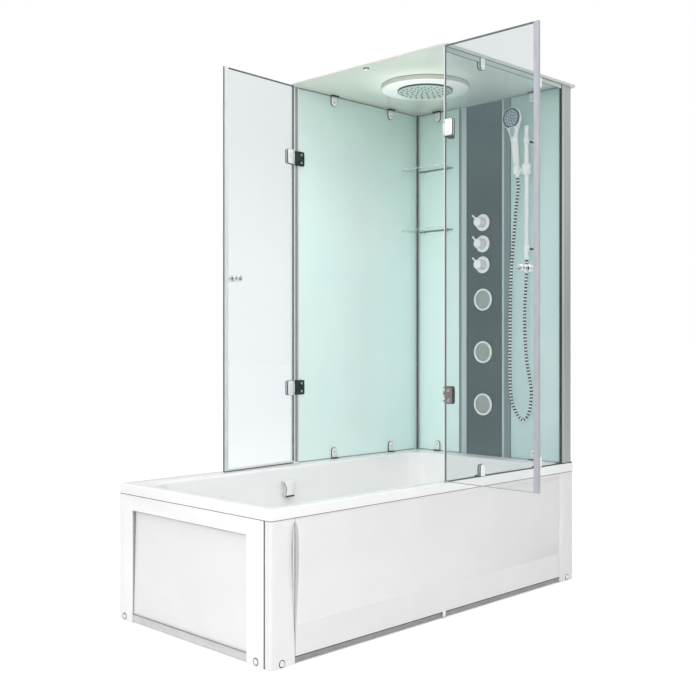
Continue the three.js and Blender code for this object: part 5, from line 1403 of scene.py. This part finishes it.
# Mixer block with its pipe over the roof
low, high = box("mixer_block")
mixer_x, mixer_y, mixer_top = 0.815, 0.02, 1.6
feed_radius, bend_steps = 0.01, 10
feed_x, feed_z = mixer_x + feed_radius, high[2] - feed_radius
body_shape = slab((mixer_x, low[1], low[2]), (high[0], high[1], mixer_top), "z", 0.003, (0, 0), 0.002)
bend = np.linspace(0, np.pi / 2, bend_steps)[1:-1]
r = 2 * feed_radius
feed_start, feed_end = mixer_top - 0.005, glass_top - 0.01
x_in, x_out = feed_x - r, rain_x + r  # where the pipe's level stretch starts and ends
feed_path = np.vstack([
    [(feed_x, mixer_y, z) for z in (feed_start, (mixer_top + feed_z) / 2, feed_z - r)],
    np.stack([x_in + r * np.cos(bend), np.full(len(bend), mixer_y), feed_z - r + r * np.sin(bend)], -1),
    [(x_in, mixer_y, feed_z), (x_out, rain_y, feed_z)],
    np.stack([x_out - r * np.sin(bend), np.full(len(bend), rain_y), feed_z - r + r * np.cos(bend)], -1),
    [(rain_x, rain_y, feed_z - r), (rain_x, rain_y, feed_end)],
])
points, faces, finishes = tube(feed_path, feed_radius, (0, 1, 0), sides=24)
feed = points, faces, [1] * len(faces)
piece("mixer_and_feed", [body_shape, feed], [cast_brass, chrome], "mixer_block")

# Valves
rosette_radius, rosette_thickness = 0.0385, 0.006
handle_radius, handle_length = 0.021, 0.039
lever_radius, lever_reach, lever_place = 0.0042, 0.046, 0.011
valve_y, stem_hole = 0.022, 0.0068
rosette = [
    (stem_hole, 0), (rosette_radius, 0), (rosette_radius, 0.0035),
    (rosette_radius - 0.003, rosette_thickness), (stem_hole, rosette_thickness),
]
handle = [
    (0, 0), (handle_radius, 0), (handle_radius, handle_length - 0.003),
    (handle_radius - 0.003, handle_length), (handle_radius - 0.006, handle_length - 0.0006),
    (0, handle_length - 0.0006),
]
# Places along the lever, from within the handle to its tip, and how thick it is there
lever_along = np.array([0.4 * handle_radius, lever_reach * 0.8, lever_reach - 0.0006, lever_reach])
lever_radii = array(1, 1, 1, 0.75) * lever_radius
lever_slope = array(0, 1, 1) * 2**-0.5
out = (-1, 0, 0)  # out of the column's face, into the cabin
base_x = side_inner - 2 * fit - rosette_thickness
for joint_name in ("upper", "middle", "lower"):
    z = joints[f"{joint_name}_valve_turn"]["pos_m"][2]
    on_face, on_rosette = (side_inner - fit, valve_y, z), (base_x, valve_y, z)
    # Each rosette and each handle has a thin dark ring behind it: painted shade where it meets what lies
    # behind
    shapes = [
        turned(rosette, on_face, out, 72, 0.0012, loop=True),
        hoop(stem_hole, rosette_radius + 0.0012, 0, 0.0008, on_face, out, 72, 0.0001, finish=1),
    ]
    piece(f"rosette_{joint_name}", shapes, [bright_chrome, black_rubber_and_shade], f"valve_rosette_{joint_name}")
    lever = array(base_x - handle_length + lever_place, valve_y, z) + lever_along[:, None] * lever_slope
    shapes = [
        turned(handle, on_rosette, out, 64, 0.0012),
        rod(handle_radius + 0.0006, 0, 0.0015, on_rosette, out, 64, 0.0002, finish=1),
        tube(lever, lever_radii, (1, 0, 0), 20),
    ]
    piece(f"handle_{joint_name}", shapes, [bright_chrome, dark_steel_shade], f"valve_handle_{joint_name}")

# Body jets
jet_radius, jet_band, jet_thickness, jet_y = 0.05, 0.0095, 0.009, 0.019
jet_inner, jet_shoulder, round_sides = jet_radius - jet_band, jet_thickness - 0.003, 96
band = [
    (jet_inner, 0), (jet_radius, 0), (jet_radius, jet_shoulder), (jet_radius - 0.003, jet_thickness),
    (jet_inner + 0.002, jet_thickness), (jet_inner, jet_shoulder),
]
dome = [
    (0, 0), (jet_inner - 0.0012, 0), (jet_inner - 0.0012, jet_thickness - 0.0034), (0, jet_thickness - 0.002)
]
tip = [(0, 0.0018), (0.0013, 0.0018), (0.0019, 0.0), (0, 0.0)]
tip = turned(tip, (0, 0, 0), out, 10, 0.0003, finish=2)
spread = rings_of((0.007, 0.0155, 0.024, 0.0325), (6, 12, 18, 24))
for name in ("upper", "middle", "lower"):
    z = middle_height(f"body_jet_{name}")
    origin = array(side_inner - fit, jet_y, z)
    places = placed(spread + (jet_y, z), origin[0] - jet_thickness + 0.0031, "x")
    # The dark ring round each jet and the dark disc behind its dome are painted shade
    shapes = [
        hoop(jet_radius - 0.001, jet_radius + 0.0015, 0, 0.0015, origin, out, round_sides, 0.0002, finish=3),
        turned(band, origin, out, round_sides, 0.0015, loop=True, finish=0),
        turned(dome, origin, out, round_sides, 0.002, finish=1),
        rod(jet_inner, 0, 0.004, origin, out, round_sides, 0.0002, finish=3),
        copies(tip, places),
    ]
    piece(f"jet_{name}", shapes, [bright_chrome, nozzle_pad, nozzle_tip, black_rubber_and_shade], f"body_jet_{name}")

# Hand shower's rail, slider and holder
rail_radius, arm_radius, bracket_radius, foot_radius = 0.009, 0.008, 0.013, 0.0105
rail_top = box("shower_rail")[1][2]
rail_at, wall_face = (rail_x, rail_y, 0), side_inner - fit
bracket_plate, neck_radius, neck_end = 0.003, 0.005, wall_face - rail_x - 0.002
shapes = [rod(rail_radius, rail_foot, rail_top, rail_at, sides=40, soft=0.002)]
# The brackets' necks are painted dark: painted shade
for z in (rail_foot + 0.049, rail_top - 0.066):
    plate_at = (wall_face - bracket_plate, rail_y, z)
    shapes += [
        rod(neck_radius, 0, neck_end, (rail_x, rail_y, z), (1, 0, 0), 40, 0.0005, finish=1),
        rod(bracket_radius, 0, bracket_plate, plate_at, (1, 0, 0), 40, 0.001),
        cylinder(bracket_radius, z - bracket_radius, z + bracket_radius, rail_x, rail_y),
    ]
shapes.append(rod(foot_radius, rail_foot, rail_foot + 0.016, rail_at, sides=40, soft=0.0015))
piece("rail_with_brackets", shapes, [bright_chrome, dark_steel_shade], "shower_rail")

slider_z = middle_height("rail_slider")
slider_at = (rail_x, rail_y, slider_z)
slider_radius, slider_half, slider_bore, holder_across = 0.019, 0.023, rail_radius + fit, 0.05
holder_radius, holder_half, lean = 0.017, 0.017, 5.6
slider = hoop(slider_bore, slider_radius, -slider_half, slider_half, slider_at, sides=56, soft=0.002)
arm_end = box("rail_slider")[1][1] - rail_y
arm = rod(arm_radius, slider_radius / 2, arm_end, slider_at, (0, 1, 0), 32, 0.001)
piece("slider", [slider, arm], bright_chrome, "rail_slider")

handset_at = array(rail_x, rail_y + holder_across, slider_z)
leaning = about_x(-lean)


def in_hand(shapes):
    """Shapes drawn about the handset's own axis, stood in its leaning frame."""
    return [moved(shape, leaning, handset_at) for shape in shapes]


grip_top, head_rise, head_radius, head_thickness = 0.19, 0.232, 0.047, 0.02
tail_radius, grip_radius, grip_flat = 0.01, 0.017, 0.72
swell_start, swell_length, swell_height = 0.02, 0.04, 0.0035  # above the holder the grip swells
spread_start, spread_length, spread_width = 0.135, 0.085, 0.021  # and further up it spreads into the head
tail = -holder_half - 0.009


def grip_at(z):
    """The grip's half width before it swells: it widens steadily from its tail."""
    return tail_radius + (grip_radius - tail_radius) * (z + 2 * holder_half) / (grip_top + 2 * holder_half)


bore = [grip_at(-holder_half) + fit, grip_at(holder_half) + fit]
cup = [
    (bore[0], -holder_half), (holder_radius - 0.002, -holder_half), (holder_radius, 0.002 - holder_half),
    (holder_radius, holder_half), (bore[1], holder_half),
]
cup = turned(cup, (0, 0, 0), sides=56, soft=0.0015, loop=True)
# The bore is an oval, as the grip is
inside = np.hypot(cup[0][:, 0], cup[0][:, 1]) < bore[1] + 0.0002
cup[0][inside, 0] *= grip_flat
piece("holder_cup", in_hand([cup]), bright_chrome, "handset_holder")


def grip_section(z):
    """Half width and half depth of the grip: its taper, then a smooth step out to the head's width."""
    t = np.clip((z - spread_start) / spread_length, 0, 1)
    blend = t * t * (3 - 2 * t)
    swell = np.clip((z - swell_start) / swell_length, 0, 1)
    radius = grip_at(z) + swell_height * swell * (2 - swell)
    return radius + spread_width * blend**1.5, grip_flat * radius - 0.0045 * blend


def handset_inlay():
    """A drop-shaped inlay on the grip's front: rows up the grip, each an arc of the grip's oval raised by
    rise, whose half width follows sqrt(s) * (1 - s) ** 0.35 from its tip to the head."""
    s, columns = np.linspace(0.004, 0.97, 24), 13
    z = 0.146 + 0.05 * s
    wide, deep = grip_section(z)
    half = 0.022 * np.sqrt(s) * (1 - s) ** 0.35
    reach = np.arcsin(np.clip(half / wide, 0, 0.98))[:, None] * np.linspace(-1, 1, columns)
    rings = []
    for rise in (0.0006, -0.0006):
        x = -(deep[:, None] + rise) * np.cos(reach)
        y = (wide[:, None] + rise) * np.sin(reach)
        rings.append(np.stack([x, y, np.repeat(z[:, None], columns, 1)], -1))
    return grid(np.concatenate([rings[0], rings[1][:, ::-1]], axis=1), caps=True, finish=2)


head_at, head_axis, face_depth = (0, 0, head_rise), (1, 0, 0), 0.004


def handset():
    """The grip is an ellipse carried up the axis, which runs into the round head. The head has a recess for
    the spray face, with a dark line round it: painted shade in the gap."""
    sides = 40
    z = np.linspace(tail, head_rise - 0.012, 60)
    wide, deep = grip_section(z)
    wide[0] -= 0.001
    deep[0] -= 0.001
    angle = 2 * np.pi * np.arange(sides) / sides
    rings = np.stack(
        [deep[:, None] * np.cos(angle), wide[:, None] * np.sin(angle), np.repeat(z[:, None], sides, 1)], -1
    )
    half = head_thickness / 2
    face = 0.04 + fit
    head = [
        (0, face_depth - half), (face, face_depth - half), (face, -half), (head_radius - 0.0015, -half),
        (head_radius, 0.002 - half), (head_radius, half - 0.006), (head_radius - 0.008, half), (0, half),
    ]
    collar_radius = tail_radius * grip_flat
    collar = [(0, tail), (collar_radius, tail), (collar_radius + 0.0005, tail + 0.006), (0, tail + 0.006)]
    return [
        grid(rings, caps=True),
        turned(head, head_at, head_axis, round_sides, 0.003),
        turned(collar, (0, 0, 0), sides=40, soft=0.0008),
        hoop(
            face + 0.0004, face + 0.0036, -half - 0.0004, -half + 0.001, head_at, head_axis, round_sides,
            0.0002, finish=1,
        ),
        handset_inlay(),
    ]


piece("handset_smooth", in_hand(handset()), [bright_chrome, dark_steel_shade, inlay_grey], "handset_body", sharp=45)

# Its spray face: a grey pad with dark tips, and a dark border that paints the shade round its edge
back = face_depth - fit - head_thickness / 2
pad = [(0, back - 0.006), (0.034, back - 0.006), (0.04, back - 0.004), (0.04, back), (0, back)]
border = [(0.0352, back - 0.0063), (0.0396, back - 0.0046), (0.0396, back - 0.001), (0.0352, back - 0.001)]
tip = [(0, -0.0013), (0.0032, -0.0013), (0.0038, 0), (0, 0)]
tip = turned(tip, (0, 0, 0), head_axis, 12, 0.0003, finish=1)
tips = rings_of((0, 0.0135, 0.0265), (1, 6, 11))
spray = [
    turned(pad, head_at, head_axis, round_sides, 0.0015, finish=0),
    turned(border, head_at, head_axis, round_sides, 0.0004, loop=True, finish=2),
    copies(tip, placed(tips + (0, head_rise), back - 0.0059, "x")),
]
piece("spray_face_pad", in_hand(spray), [spray_grey, slate_tip, dark_steel_shade], "handset_spray_face")

# Floor: white under the lamps, with a soft shadow where the unit stands
floor_white = material(
    "white_floor", ("#fdfdfd", "#ffffff"), (0.7, 0.8), size=1.0, Specular_IOR_Level=0.0
)
tree = floor_white.node_tree
seen = add(tree, "ShaderNodeLightPath").outputs["Is Camera Ray"]
glow = add(tree, "ShaderNodeMath", {0: 0.4, 1: seen}, operation="MULTIPLY")
shader = tree.nodes["Principled BSDF"]
shader.inputs["Emission Color"].default_value = (1, 1, 1, 1)
tree.links.new(glow.outputs[0], shader.inputs["Emission Strength"])
ground_half, ground_z = 30, -0.0005
corners = [(-ground_half, -ground_half), (ground_half, -ground_half)]
corners += [(ground_half, ground_half), (-ground_half, ground_half)]
ground_mesh = bpy.data.meshes.new("ground")
ground_mesh.from_pydata([(x, y, ground_z) for x, y in corners], [], [[0, 1, 2, 3]])
ground_mesh.materials.append(floor_white)
ground = bpy.data.objects.new("ground", ground_mesh)
bpy.context.scene.collection.objects.link(ground)


def lamp(name, kind, place, turn, power):
    """A light at a place, turned by Euler angles."""
    light = bpy.data.lights.new(name, kind)
    light.energy = power
    made = bpy.data.objects.new(name, light)
    bpy.context.scene.collection.objects.link(made)
    made.location = place
    made.rotation_euler = turn
    return made


# Lamps: a broad key from the front left, a softer fill from the front right, and one above
for name, place, aim, size, power in (
    ("key", (-4.9, -3.2, 2.6), (0.0, 0.0, 0.9), 3.0, 101),
    ("fill", (1.6, -5.0, 2.0), (0.2, 0.0, 0.9), 2.5, 10),
    ("top", (-1.2, -0.6, 5.0), (-0.4, 0.0, 0.0), 4.0, 76),
):
    way = unit_vector(array(*aim) - array(*place))
    made = lamp(name, "AREA", place, (np.arccos(-way[2]), 0, np.arctan2(-way[0], way[1])), power)
    made.data.shape = "DISK"
    made.data.size = size
    made.visible_camera = False
    made.visible_glossy = name != "key"

# Light thrown up from the white basin onto the rain shower and the ceiling
glow = lamp("basin_glow", "SPOT", (0.33, 0.0, 0.55), (np.pi, 0, 0), 40).data
glow.spot_size = np.radians(17)
glow.spot_blend = 0.5
glow.shadow_soft_size = 0.1

# Surroundings: white behind the unit; chrome mirrors a room that is bright above and dim at eye height
world = bpy.data.worlds.new("surroundings")
world.use_nodes = True
bpy.context.scene.world = world
tree = world.node_tree
tree.nodes.clear()
way = add(tree, "ShaderNodeTexCoord").outputs["Generated"]
height = add(tree, "ShaderNodeSeparateXYZ", {"Vector": way}).outputs["Z"]
span = {"Value": height, "From Min": -1.0, "From Max": 1.0}
level = add(tree, "ShaderNodeMapRange", span).outputs["Result"]
room = add(tree, "ShaderNodeValToRGB", {"Fac": level})
stops = room.color_ramp.elements
stops[0].position, stops[0].color = 0.3, linear("#d9dbdc")
stops[1].position, stops[1].color = 1.0, linear("#ffffff")
for place, code in ((0.44, "#8b9092"), (0.475, "#4b5052"), (0.53, "#b9bdbf"), (0.62, "#f4f6f6")):
    stops.new(place).color = linear(code)
rays = add(tree, "ShaderNodeLightPath").outputs
diffuse = add(tree, "ShaderNodeBackground", {"Color": linear("#f8f8f8"), "Strength": 0.66}).outputs[0]
mirrored = add(tree, "ShaderNodeBackground", {"Color": room.outputs["Color"], "Strength": 1.0}).outputs[0]
seen = add(tree, "ShaderNodeBackground", {"Color": (1, 1, 1, 1), "Strength": 1.0}).outputs[0]
indirect = add(tree, "ShaderNodeMixShader", {0: rays["Is Glossy Ray"], 1: diffuse, 2: mirrored}).outputs[0]
direct = add(tree, "ShaderNodeMixShader", {0: rays["Is Camera Ray"], 1: indirect, 2: seen}).outputs[0]
add(tree, "ShaderNodeOutputWorld", {"Surface": direct})

bpy.context.scene.view_settings.view_transform = "Standard"
